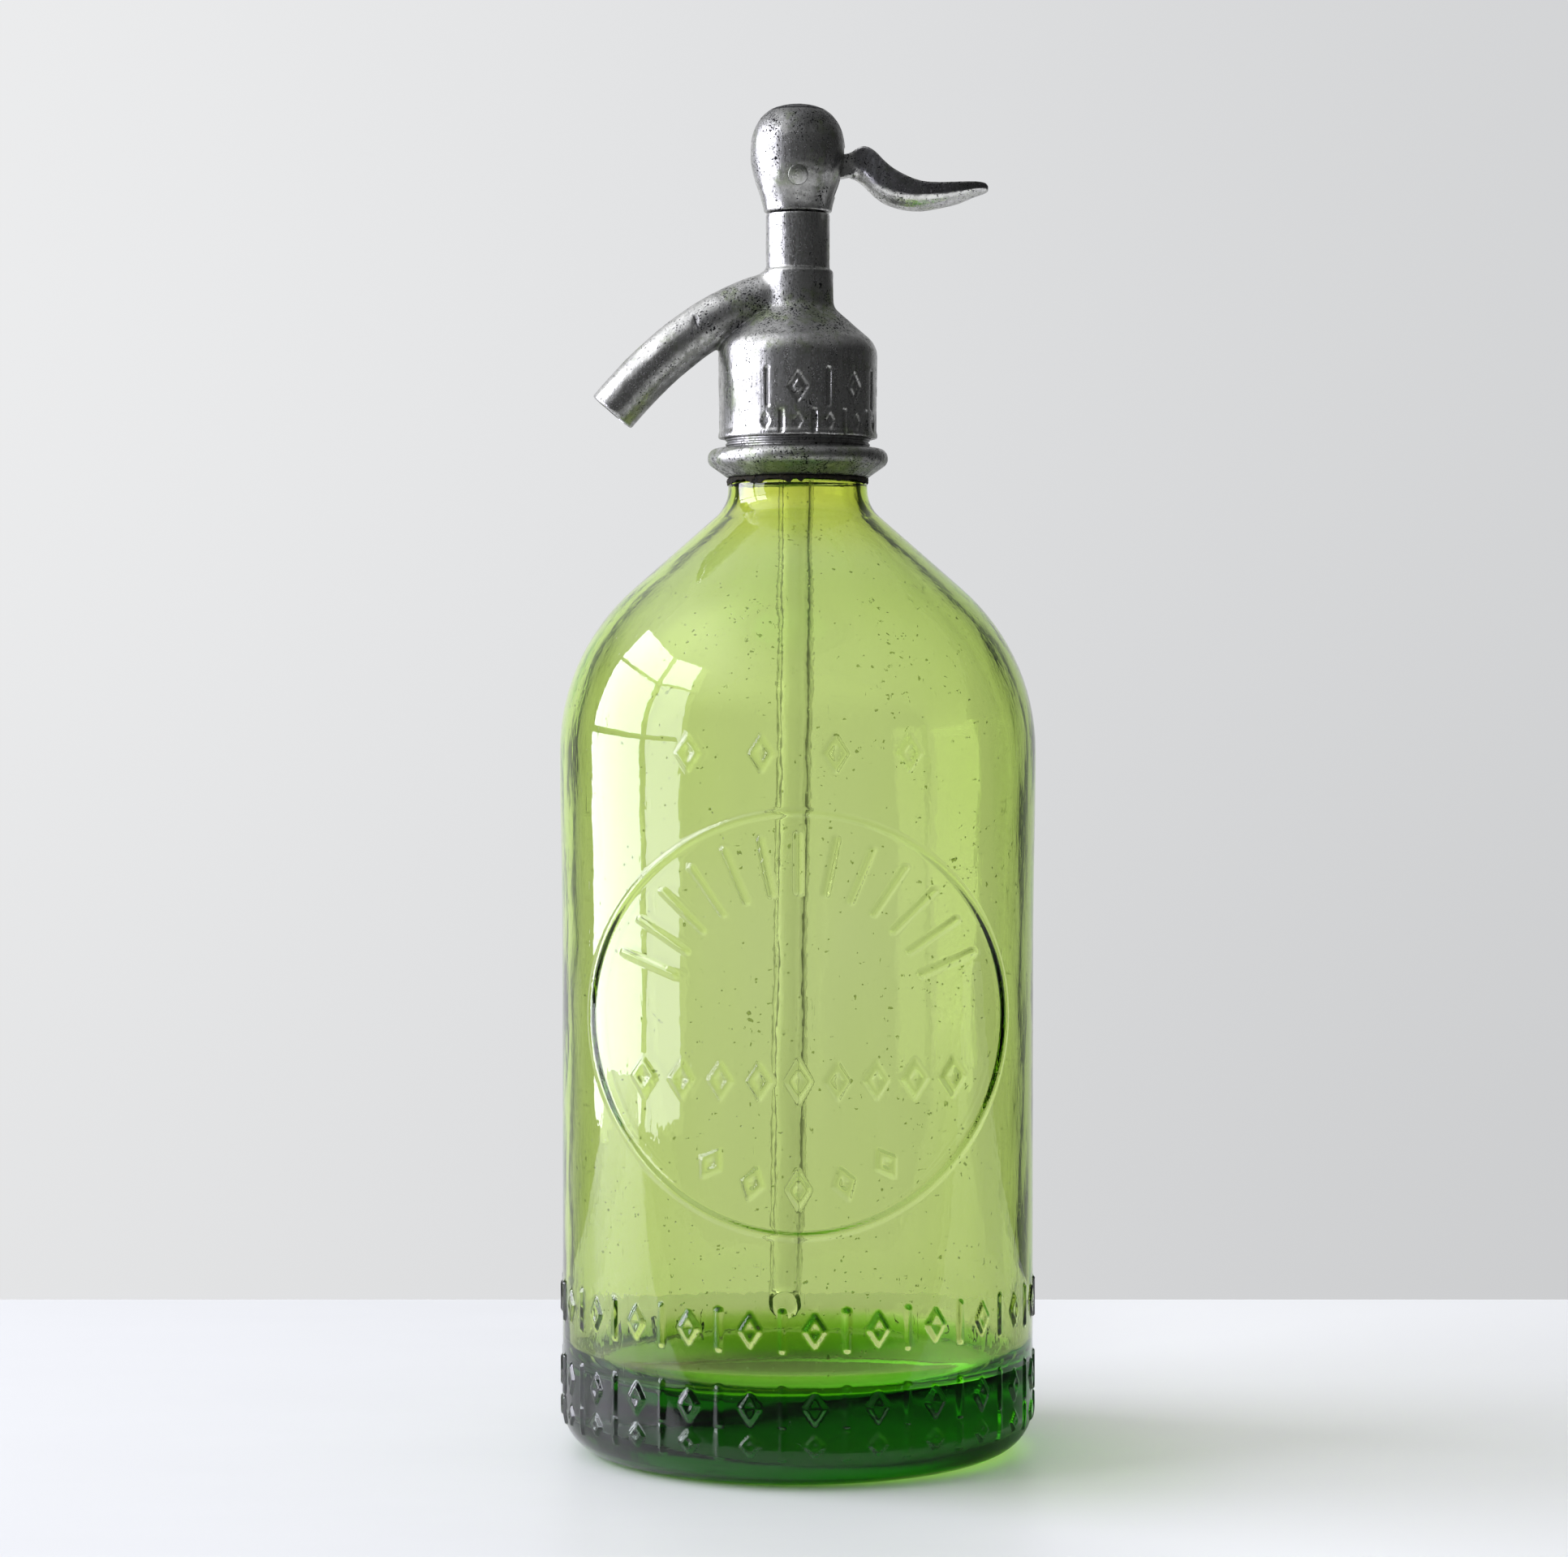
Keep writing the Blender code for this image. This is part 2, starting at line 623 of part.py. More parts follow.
def make_head_body(parts, cutters, metal):
    made = turned("head_body", head_outside(), HEAD_STEPS, False, parts)
    line = spout_line(0)
    spout = tube("spout", line, [SPOUT_RADIUS] * len(line), 7, cutters)
    combine(made, spout, "UNION")
    combine(made, turned("head_inside", head_inside(), HEAD_STEPS, False, cutters), "DIFFERENCE")
    line = spout_line(OVERRUN)
    last = len(line) - 1
    radii = [SPOUT_BORE_ROOT + (SPOUT_BORE - SPOUT_BORE_ROOT) * min(1, 2 * i / last) for i in range(last + 1)]
    bore = tube("spout_bore", line, radii, 6, cutters)
    combine(made, bore, "DIFFERENCE")
    dress(made, metal)


# Valve, from the cage up
def make_valve_cage(parts, brass):
    flange = MOUTH_RADIUS - 2 * GAP
    socket = socketBore + SOCKET_WALL
    floorTop = cageFlangeBottom + CAGE_FLOOR
    profile = [
        (CAGE_CHAMBER, cageTop),
        (cageRadius, cageTop),
        (cageRadius, flangeOfCageTop),
        (flange, flangeOfCageTop),
        (flange, cageFlangeBottom),
        (socket, cageFlangeBottom),
        (socket, socketBottom),
        (socketBore, socketBottom),
        (socketBore, cageFlangeBottom),
        (WATER_WAY, cageFlangeBottom),
        (WATER_WAY, floorTop),
        (CAGE_CHAMBER, floorTop),
    ]
    dress(turned("valve_cage", profile, MID_STEPS, True, parts), brass)


def make_cage_gasket(parts, rubber):
    inner = cageRadius + GAP
    outer = MOUTH_RADIUS - 2 * GAP
    bottom = flangeOfCageTop + GAP
    dress(ring("cage_gasket", inner, outer, bottom, bottom + CAGE_GASKET, MID_STEPS, parts), rubber)


def make_valve_disc(parts, rubber):
    made = ring("valve_disc", stemHole, DISC_RADIUS, discTop - DISC_THICKNESS, discTop, SMALL_STEPS, parts)
    dress(made, rubber)


def make_valve_holder(parts, brass):
    inner = DISC_RADIUS + GAP
    outer = inner + HOLDER_WALL
    profile = [(stemHole, holderTop), (inner, holderTop), (inner, holderTop + HOLDER_RIM)]
    profile += [(outer, holderTop + HOLDER_RIM), (outer, holderBottom), (stemHole, holderBottom)]
    dress(turned("valve_holder", profile, SMALL_STEPS, True, parts), brass)


def make_valve_nut(parts, brass):
    sides = 6
    dress(ring("valve_nut", stemHole, NUT_RADIUS, nutTop - NUT_HEIGHT, nutTop, sides, parts), brass)


def make_valve_stem(parts, brass):
    """The collar rests on the disc, and clears the seat's hole."""
    collar = SEAT_RADIUS - 2 * GAP
    collarFoot = discTop + GAP
    profile = [
        (0, stemTop),
        (STEM_RADIUS, stemTop),
        (STEM_RADIUS, collarFoot + STEM_COLLAR),
        (collar, collarFoot + STEM_COLLAR),
        (collar, collarFoot),
        (STEM_RADIUS, collarFoot),
        (STEM_RADIUS, stemFoot),
        (0, stemFoot),
    ]
    dress(turned("valve_stem", profile, SMALL_STEPS, False, parts), brass)


# Gland, spring and button, from the packing up
def make_stem_packing(parts, packing):
    top = packingBottom + PACKING_HEIGHT
    dress(ring("stem_packing", stemHole, GLAND_RADIUS - GAP, packingBottom, top, SMALL_STEPS, parts), packing)


def make_gland_nut(parts, cutters, brass):
    """A slotted nut: the slot across its top takes a two-legged key."""
    radius = GLAND_RADIUS - GAP
    made = ring("gland_nut", stemHole, radius, glandBottom, glandTop, SMALL_STEPS, parts)
    reach = radius + OVERRUN
    half = GLAND_NOTCH / 2
    slot = box("gland_slot", (-half, -reach, glandTop - GLAND_NOTCH), (half, reach, glandTop + OVERRUN), cutters)
    combine(made, slot, "DIFFERENCE")
    dress(made, brass)


def make_return_spring(parts, steel):
    """One plain helix, whose least gap between turns is printed."""
    bottom = glandTop + GAP + SPRING_WIRE / 2
    top = buttonBottom - GAP - SPRING_WIRE / 2
    count = SPRING_TURNS * SPRING_POINTS_PER_TURN + 1
    points = []
    for i in range(count):
        angle = 2 * math.pi * i / SPRING_POINTS_PER_TURN
        height = bottom + (top - bottom) * i / (count - 1)
        points.append(Vector((SPRING_RADIUS * math.cos(angle), SPRING_RADIUS * math.sin(angle), height)))
    apart = min(
        (points[i] - points[j]).length
        for i in range(count)
        for j in range(i + SPRING_POINTS_PER_TURN // 2, count)
    )
    print(f"return_spring: least gap between turns {1000 * (apart - SPRING_WIRE):.2f} mm")
    dress(tube("return_spring", points, [SPRING_WIRE / 2] * count, 1, parts), steel)


def make_stem_button(parts, brass):
    boss = stemHole + BUTTON_ROUND * 1.5
    profile = [(0, buttonTop)]
    profile += arc((BUTTON_RADIUS - BUTTON_ROUND, buttonTop - BUTTON_ROUND), BUTTON_ROUND, 90, 0, 2)
    profile += [(BUTTON_RADIUS, buttonBottom), (boss, buttonBottom), (boss, buttonBottom - BUTTON_BOSS)]
    profile += [(stemHole, buttonBottom - BUTTON_BOSS), (stemHole, buttonTop - BUTTON_ROOF)]
    profile.append((0, buttonTop - BUTTON_ROOF))
    dress(turned("stem_button", profile, SMALL_STEPS, False, parts), brass)


# Ball cap, its pin and the lever
def ball_outside():
    """From the crown down the ball, which narrows in an S to the skirt."""
    middle = capBottom + BALL_MIDDLE
    profile = []
    for step in range(9):
        angle = math.radians(90 - 90 * step / 8)
        out = abs(math.cos(angle)) ** (2 / BALL_FULLNESS) if step else 0
        up = math.sin(angle) ** (2 / BALL_FULLNESS) if step < 8 else 0
        profile.append((BALL_RADIUS * out, middle + BALL_CROWN * up))
    for step in range(7, 0, -1):
        share = step / 8
        out = math.sin(math.pi / 2 * share) ** SKIRT_CURVE
        profile.append((SKIRT_RADIUS + (BALL_RADIUS - SKIRT_RADIUS) * out, capBottom + BALL_MIDDLE * share))
    return profile + [(SKIRT_RADIUS, capBottom), (0, capBottom)]


def ball_inside():
    """The room for the lever's hub, from its crown down to the skirt's thread."""
    wallTop = capBottom + CAVITY_WALL_TOP
    cone = capBottom + CAVITY_START
    profile = [(0, wallTop + CAVITY_CROWN)]
    for share in (0.5, 0.85, 1):
        height = wallTop + CAVITY_CROWN * math.sqrt(1 - share * share)
        profile.append((CAVITY_RADIUS * share, height))
    profile += [(CAVITY_RADIUS, cone + CAVITY_CONE), (skirtBore, cone)]
    return profile + [(skirtBore, capBottom - OVERRUN), (0, capBottom - OVERRUN)]


def pin_profile(radius, headRadius, seatPlace, headEnd, dome):
    """Half turned pin with a head at each end, about its own length."""
    upper = [(headRadius, headEnd), (headRadius, seatPlace), (radius, seatPlace)]
    lower = [(r, -z) for r, z in reversed(upper)]
    return [(0, headEnd + dome)] + upper + lower + [(0, -headEnd - dome)]


def make_ball_cap(parts, cutters, metal):
    made = turned("ball_cap", ball_outside(), MID_STEPS, False, parts)
    combine(made, turned("ball_inside", ball_inside(), MID_STEPS, False, cutters), "DIFFERENCE")
    half = TANG_THICKNESS / 2 + GAP
    foot = BALL_RADIUS * math.sin(LEVER_TURN)
    low = (0, -half, pivotHeight - foot)
    high = (BALL_RADIUS + OVERRUN, half, pivotHeight + SLOT_TOP)
    combine(made, box("lever_slot", low, high, cutters), "DIFFERENCE")
    headRoom = PIN_HEAD_RADIUS + GAP
    profile = pin_profile(pinHole, headRoom, PIN_SEAT - GAP, BALL_RADIUS + OVERRUN, 0)
    bore = turned("pin_bore", profile, SMALL_STEPS, False, cutters)
    bore.location = (0, 0, pivotHeight)
    bore.rotation_euler = (math.radians(90), 0, 0)
    combine(made, bore, "DIFFERENCE")
    dress(made, metal)


def make_pivot_pin(parts, steel):
    profile = pin_profile(PIN_RADIUS, PIN_HEAD_RADIUS, PIN_SEAT, PIN_SEAT + PIN_HEAD, PIN_DOME)
    made = turned("pivot_pin", profile, SMALL_STEPS, False, parts)
    dress(made, steel)
    made.location = (0, 0, pivotHeight)
    made.rotation_euler = (math.radians(90), 0, 0)


def tang_outline():
    """Hub, nose, heel and neck of the lever's tang, seen from the front, about the pivot."""
    outline = arc((0, 0), HUB_RADIUS, 105, 285, 12)
    outline += arc((NOSE_OUT, -NOSE_DOWN), NOSE_RADIUS, 245, 360, 5)
    outline += [(HEEL_OUT, -HEEL_DOWN), (TANG_END, NECK_LOW), (TANG_END, NECK_HIGH)]
    return outline


def lever_section(place, top, ridge, belly, half):
    """One closed cross-section of the lever, as points about the pivot."""
    x = LEVER_LENGTH * place
    high = LEVER_DEPTH * top
    middle = LEVER_DEPTH * ridge
    low = LEVER_DEPTH * belly
    wide = LEVER_WIDTH * half
    dish = LEVER_DISH * half / max(row[4] for row in LEVER_SHARES)
    side = []
    for out, sink, down, under in SECTION_SHARES:
        z = high + dish * sink + (middle - high) * down + (low - middle) * under
        side.append((wide * out, z))
    near = [Vector((x, y, z)) for y, z in side]
    far = [Vector((x, -y, z)) for y, z in reversed(side)]
    return [Vector((x, 0, high - dish))] + near + [Vector((x, 0, low))] + far


def between(rows, place):
    """Smooth curve through the rows, read at place, a number of rows from the first."""
    first = min(int(place), len(rows) - 2)
    t = place - first
    before = rows[max(first - 1, 0)]
    after = rows[min(first + 2, len(rows) - 1)]
    found = []
    for a, b, c, d in zip(before, rows[first], rows[first + 1], after, strict=True):
        bend = (2 * a - 5 * b + 4 * c - d) * t * t + (3 * b - a - 3 * c + d) * t * t * t
        found.append(b + 0.5 * ((c - a) * t + bend))
    return found


def make_lever(parts, cutters, metal):
    """A loft from the neck to the thumb's tip, joined to the flat tang that the pin goes through."""
    count = 2 * len(LEVER_SHARES) - 1
    made = bmesh.new()
    rings = []
    for i in range(count):
        section = lever_section(*between(LEVER_SHARES, i / 2))
        rings.append([made.verts.new(point) for point in section])
    around = len(rings[0])
    for one, two in zip(rings, rings[1:]):
        for i in range(around):
            j = (i + 1) % around
            made.faces.new((one[i], one[j], two[j], two[i]))
    made.faces.new(rings[0])
    made.faces.new(rings[-1])
    bmesh.ops.recalc_face_normals(made, faces=made.faces)
    mesh = bpy.data.meshes.new("lever")
    made.to_mesh(mesh)
    made.free()
    lever = new_object("lever", mesh, parts)
    tang = plate("tang", tang_outline(), TANG_THICKNESS, cutters)
    combine(lever, tang, "UNION")
    reach = TANG_THICKNESS / 2 + OVERRUN
    hole = rod("lever_bore", pinHole, -reach, reach, SMALL_STEPS, cutters)
    hole.rotation_euler = (math.radians(90), 0, 0)
    combine(lever, hole, "DIFFERENCE")
    dress(lever, metal)
    for piece in (lever, tang, hole):
        piece.location = (0, 0, pivotHeight)


def main():
    for old in list(bpy.data.objects):
        bpy.data.objects.remove(old)
    parts = new_collection("soda_siphon")
    cutters = new_collection("cutters")
    glass = finish_material("green_glass", (0.42, 0.55, 0.36), 0, 0.05)
    tin = finish_material("aged_tin", (0.46, 0.45, 0.41), 1, 0.45)
    brass = finish_material("dull_brass", (0.55, 0.43, 0.22), 1, 0.4)
    steel = finish_material("spring_steel", (0.5, 0.5, 0.5), 1, 0.35)
    rubber = finish_material("black_rubber", (0.03, 0.03, 0.03), 0, 0.8)
    packing = finish_material("dark_packing", (0.10, 0.08, 0.06), 0, 0.9)
    make_bottle(parts, cutters, glass)
    make_dip_tube(parts, glass)
    make_tube_sleeve(parts, rubber)
    make_collar_half("collar_back", 1, parts, cutters, tin)
    make_collar_half("collar_front", -1, parts, cutters, tin)
    make_collar_packing(parts, packing)
    make_neck_gasket(parts, rubber)
    make_head_body(parts, cutters, tin)
    make_valve_cage(parts, brass)
    make_cage_gasket(parts, rubber)
    make_valve_disc(parts, rubber)
    make_valve_holder(parts, brass)
    make_valve_nut(parts, brass)
    make_valve_stem(parts, brass)
    make_stem_packing(parts, packing)
    make_gland_nut(parts, cutters, brass)
    make_return_spring(parts, steel)
    make_stem_button(parts, brass)
    make_ball_cap(parts, cutters, tin)
    make_pivot_pin(parts, steel)
    make_lever(parts, cutters, tin)


main()
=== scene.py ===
# An old glass soda siphon with a cast head: the looks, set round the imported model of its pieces.
# Metres, +Z up, front towards -Y. The spout points to -X and the lever to +X.
import math

import bmesh
import bpy
import numpy as np
from mathutils import Matrix, Vector, noise
from mathutils.kdtree import KDTree


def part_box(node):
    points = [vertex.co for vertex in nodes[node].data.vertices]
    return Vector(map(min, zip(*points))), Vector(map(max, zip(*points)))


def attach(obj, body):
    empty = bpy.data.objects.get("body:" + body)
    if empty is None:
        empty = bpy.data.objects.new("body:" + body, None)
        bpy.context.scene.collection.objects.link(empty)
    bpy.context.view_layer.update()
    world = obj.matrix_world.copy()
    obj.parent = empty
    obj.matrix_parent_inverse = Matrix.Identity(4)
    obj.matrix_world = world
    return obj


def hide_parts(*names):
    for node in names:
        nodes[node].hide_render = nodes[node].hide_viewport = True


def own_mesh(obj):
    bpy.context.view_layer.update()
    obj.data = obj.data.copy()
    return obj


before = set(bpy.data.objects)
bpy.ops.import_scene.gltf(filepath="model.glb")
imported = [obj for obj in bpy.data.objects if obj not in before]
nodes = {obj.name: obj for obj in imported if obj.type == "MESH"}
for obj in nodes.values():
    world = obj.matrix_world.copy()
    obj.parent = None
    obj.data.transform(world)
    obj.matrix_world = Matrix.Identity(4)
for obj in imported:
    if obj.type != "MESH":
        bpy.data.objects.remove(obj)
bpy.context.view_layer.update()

mm = 0.001


# Node graphs: one class for a socket, one for a tree
class Wire:
    def __init__(self, graph, socket):
        self.graph = graph
        self.socket = socket

    def hypot(self, other):
        return (self * self + other * other).root()

    def ramp(self, low, high, start=0.0, end=1.0):  # start below low, end above high, a soft step between
        values = {"Value": self, "From Min": low, "From Max": high, "To Min": start, "To Max": end}
        return self.graph.node("ShaderNodeMapRange", {"interpolation_type": "SMOOTHSTEP"}, values)

    def fall(self, low, high):
        return self.ramp(low, high, 1.0, 0.0)

    def band(self, low, full, fading, high):  # 1 from full to fading, 0 below low and above high
        return self.ramp(low, full) * self.fall(fading, high)


def operator(operation, reflected=False):
    def result(self, other=0.0):
        pair = (other, self) if reflected else (self, other)
        return self.graph.node("ShaderNodeMath", {"operation": operation}, dict(enumerate(pair)))

    return result


for name, operation in {"add": "ADD", "sub": "SUBTRACT", "mul": "MULTIPLY", "truediv": "DIVIDE"}.items():
    setattr(Wire, f"__{name}__", operator(operation))
    setattr(Wire, f"__r{name}__", operator(operation, reflected=True))
for name, operation in {
    "__abs__": "ABSOLUTE",
    "root": "SQRT",
    "rounded": "ROUND",
    "fraction": "FRACT",
    "least": "MINIMUM",
    "most": "MAXIMUM",
    "above": "GREATER_THAN",
    "below": "LESS_THAN",
    "angleTo": "ARCTAN2",
}.items():
    setattr(Wire, name, operator(operation))


class Graph:
    def __init__(self, tree):
        self.tree = tree

    def fill(self, made, values):
        for key, value in values.items():
            if isinstance(value, Wire):
                self.tree.links.new(value.socket, made.inputs[key])
            else:
                made.inputs[key].default_value = value

    def node(self, kind, settings=None, values=None, out=0):
        made = self.tree.nodes.new(kind)
        for name, setting in (settings or {}).items():
            setattr(made, name, setting)
        self.fill(made, values or {})
        return Wire(self, made.outputs[out])

    def axes(self, vector):
        made = self.tree.nodes.new("ShaderNodeSeparateXYZ")
        self.fill(made, {0: vector})
        return [Wire(self, made.outputs[i]) for i in range(3)]

    def blend(self, share, first, second):  # of two colours
        sockets = {0: share, 6: first, 7: second}
        return self.node("ShaderNodeMix", {"data_type": "RGBA"}, sockets, out=2)

    def grain(self, where, scale, detail=3.0, rough=0.55, stretch=None):  # noise from 0 to 1
        if stretch:
            values = {"Vector": where, "Scale": stretch}
            where = self.node("ShaderNodeMapping", {"vector_type": "POINT"}, values)
        values = {"Vector": where, "Scale": scale, "Detail": detail, "Roughness": rough}
        return self.node("ShaderNodeTexNoise", {}, values)


# Materials
def newMaterial(name, values):
    material = bpy.data.materials.new(name)
    material.use_nodes = True
    graph = Graph(material.node_tree)
    shader = material.node_tree.nodes["Principled BSDF"]
    graph.fill(shader, values)
    where = graph.node("ShaderNodeTexCoord", out="Object")
    return material, graph, shader, where


def bumped(graph, height, depth):
    return graph.node("ShaderNodeBump", {}, {"Height": height, "Distance": depth, "Strength": 1.0})


white = (1, 1, 1, 1)
greenGlass = {
    "ior": 1.5,
    "absorbing": (0.742, 0.905, 0.045, 1),  # the colour that is left
    "density": 195.0,  # for each metre
    "waves": 0.10 * mm,  # height of the slow waves
    "scratches": 0.02 * mm,
    "neck": (205 * mm, 222 * mm),  # its tint grows from the first height to the second
    "neckTint": (0.98, 0.955, 0.55, 1),
    "foot": (20 * mm, 24 * mm),  # its tint fades from the first height to the second
    # painted shade and light in the foot's tint: greyer on the left, a fuller green on the right
    "footTintsWithPaintedLight": ((0.56, 0.78, 0.30, 1), (0.50, 1.0, 0.22, 1)),  # left and right
    "footSides": (-10 * mm, 35 * mm),
    "skin": 50.5 * mm,  # the outer skin lies further out than this
    "pushUp": (42.0 * mm, 5.4 * mm, 0.42),  # how far out and up it reaches, and how rough it is
    "rubbedSkinAndSheenBand": (19 * mm, 23 * mm),  # the foot's skin is rubbed, fully below the first height
    "rubbedRough": (0.07, 0.17),  # left and right
    "rubbedSides": (-30 * mm, 15 * mm),
    "lean": (0.05, 0.24),  # of the foot's skin, left and right, for its shading only
    "leanSides": (-25 * mm, 30 * mm),
    "leanTop": 22 * mm,
    "floorOut": (48 * mm, 50 * mm),
    "floorUp": (12 * mm, 14 * mm, 24 * mm, 25 * mm),
    "floorRough": 0.1,
    "fleck": (0.25, 0.30, 0.12, 1),  # colour of the specks of dirt
}


def makeGlass(name, absorbing, density, waves, fine, rough=0.0, tinted=False):
    g = greenGlass
    constant = {"Base Color": white, "Roughness": rough, "IOR": g["ior"], "Transmission Weight": 1.0}
    material, graph, shader, where = newMaterial(name, constant)
    slow = graph.grain(where, 42, 2.0, 0.5, (1, 1, 0.55))
    ripples = graph.grain(where, 420, 2.0, 0.6, (1, 1, 0.35))
    hairs = graph.grain(where, 900, 2.0, 0.5, (1, 1, 0.12)).ramp(0.70, 0.76)
    patches = graph.grain(where, 60, 1.0)
    flecks = (graph.grain(where, 700, 1.0, 0.5) + (patches - 0.5) * 0.25).ramp(0.757, 0.787)
    height = slow * waves + (ripples + hairs * 0.8 - flecks * 2.0) * fine
    colour = graph.blend(flecks, white, g["fleck"])
    if tinted:
        x, y, up = graph.axes(where)
        far = x.hypot(y)
        lean = (g["leanTop"] - up).most(0.0) * far.above(g["skin"])
        height = height + lean * x.ramp(*g["leanSides"], *g["lean"])
        reach, high, pushedRough = g["pushUp"]
        under = far.fall(reach, reach + 0.6 * mm) * up.fall(high, high + 0.6 * mm)
        within = far.fall(*g["floorOut"]) * up.band(*g["floorUp"])
        rubbedSkinAndSheenBand = up.fall(*g["rubbedSkinAndSheenBand"]) * far.ramp(g["skin"], g["skin"] + 1 * mm)
        rubbedSkinAndSheenBand = rubbedSkinAndSheenBand * x.ramp(*g["rubbedSides"], *g["rubbedRough"])
        graph.fill(shader, {"Roughness": under * pushedRough + rubbedSkinAndSheenBand + within * g["floorRough"]})
        # the thick neck and foot are deeper in colour than their thickness alone makes them; the foot's
        # tint is also painted shade on its left, greyer, and painted light on its right, a fuller green
        footDepthAndPaintedLight = graph.blend(x.ramp(*g["footSides"]), *g["footTintsWithPaintedLight"])
        colour = graph.blend(up.ramp(*g["neck"]), colour, g["neckTint"])
        colour = graph.blend(up.fall(*g["foot"]), colour, footDepthAndPaintedLight)
    graph.fill(shader, {"Normal": bumped(graph, height, 1.0), "Base Color": colour})
    inside = graph.node("ShaderNodeVolumeAbsorption", {}, {"Color": absorbing, "Density": density})
    graph.fill(material.node_tree.nodes["Material Output"], {"Volume": inside})
    return material


agedTin = {
    "bright": (0.52, 0.52, 0.51, 1),
    "dull": (0.26, 0.262, 0.25, 1),
    "green": (0.24, 0.285, 0.165, 1),
    "pit": (0.014, 0.014, 0.016, 1),
    # painted shade on the ball's crown
    "crown": (0.08, 0.08, 0.086, 1),
    # painted light on the lever: shade on its dished top, bluish shade on its sides, and a highlight in a
    # band under it
    "dish": (0.052, 0.052, 0.06, 1),  # on the lever's top
    "side": (0.085, 0.082, 0.105, 1),  # of the lever
    "paintedHighlight": (0.86, 0.86, 0.84, 1),  # the bright band under the lever
    "roughness": 0.24,
    "depth": 0.085 * mm,
    "spoutCentre": (11.3 * mm, 209.4 * mm),  # of its bend near the bell, in the plane of x and z
    "spoutBend": 61.3 * mm,
    "spout": 5.82 * mm,
    "shoulder": (0.6561, 0.7547, 205.8 * mm),  # the bell's sloping shoulder: its normal and reach
    # heights of the groove by the thread, of the rough shoulder, crown and collar's foot
    "groove": (232.5 * mm, 232.9 * mm, 234.9 * mm, 235.4 * mm),
    "roughShoulder": (256 * mm, 261 * mm, 268 * mm, 273 * mm),
    "roughCrown": ((310.8 * mm, 311.4 * mm), (303 * mm, 309 * mm)),
    "roughFoot": (229 * mm, 234 * mm),
    "crownRing": 311.2 * mm,
    "crack": (23.6 * mm, 261.7 * mm),  # how far left and up
    "blade": (12 * mm, 14 * mm),  # where the lever's thumb piece begins
}


def creaseShadeAndDarkLines(x, y, z):
    # painted shade in the thread's groove under the bell's foot and in the crease where the spout leaves
    # the bell; darker lines in a crack and in a ring on the crown
    thread = z.band(*agedTin["groove"])
    left, high = agedTin["crack"]
    over = z - high
    crack = abs(x + left + over * 0.35).ramp(0.10 * mm, 0.38 * mm, 0.85, 0.0)
    crack = crack * abs(over).fall(1.2 * mm, 2.3 * mm) * y.below(0.0)
    across, high = agedTin["spoutCentre"]
    aside = (x - across).hypot(z - high) - agedTin["spoutBend"]
    fromSpout = abs(aside.hypot(y) - agedTin["spout"])
    out, up, reach = agedTin["shoulder"]
    fromBell = abs(x.hypot(y) * out + z * up - reach)
    crease = fromSpout.fall(0.3 * mm, 1.5 * mm) * fromBell.fall(0.4 * mm, 1.8 * mm)
    crown = abs(z - agedTin["crownRing"]).ramp(0.08 * mm, 0.26 * mm, 0.7, 0.0)
    return (thread * 0.3 + crease * x.below(0.0) * 0.6 + crown + crack).least(1.0)


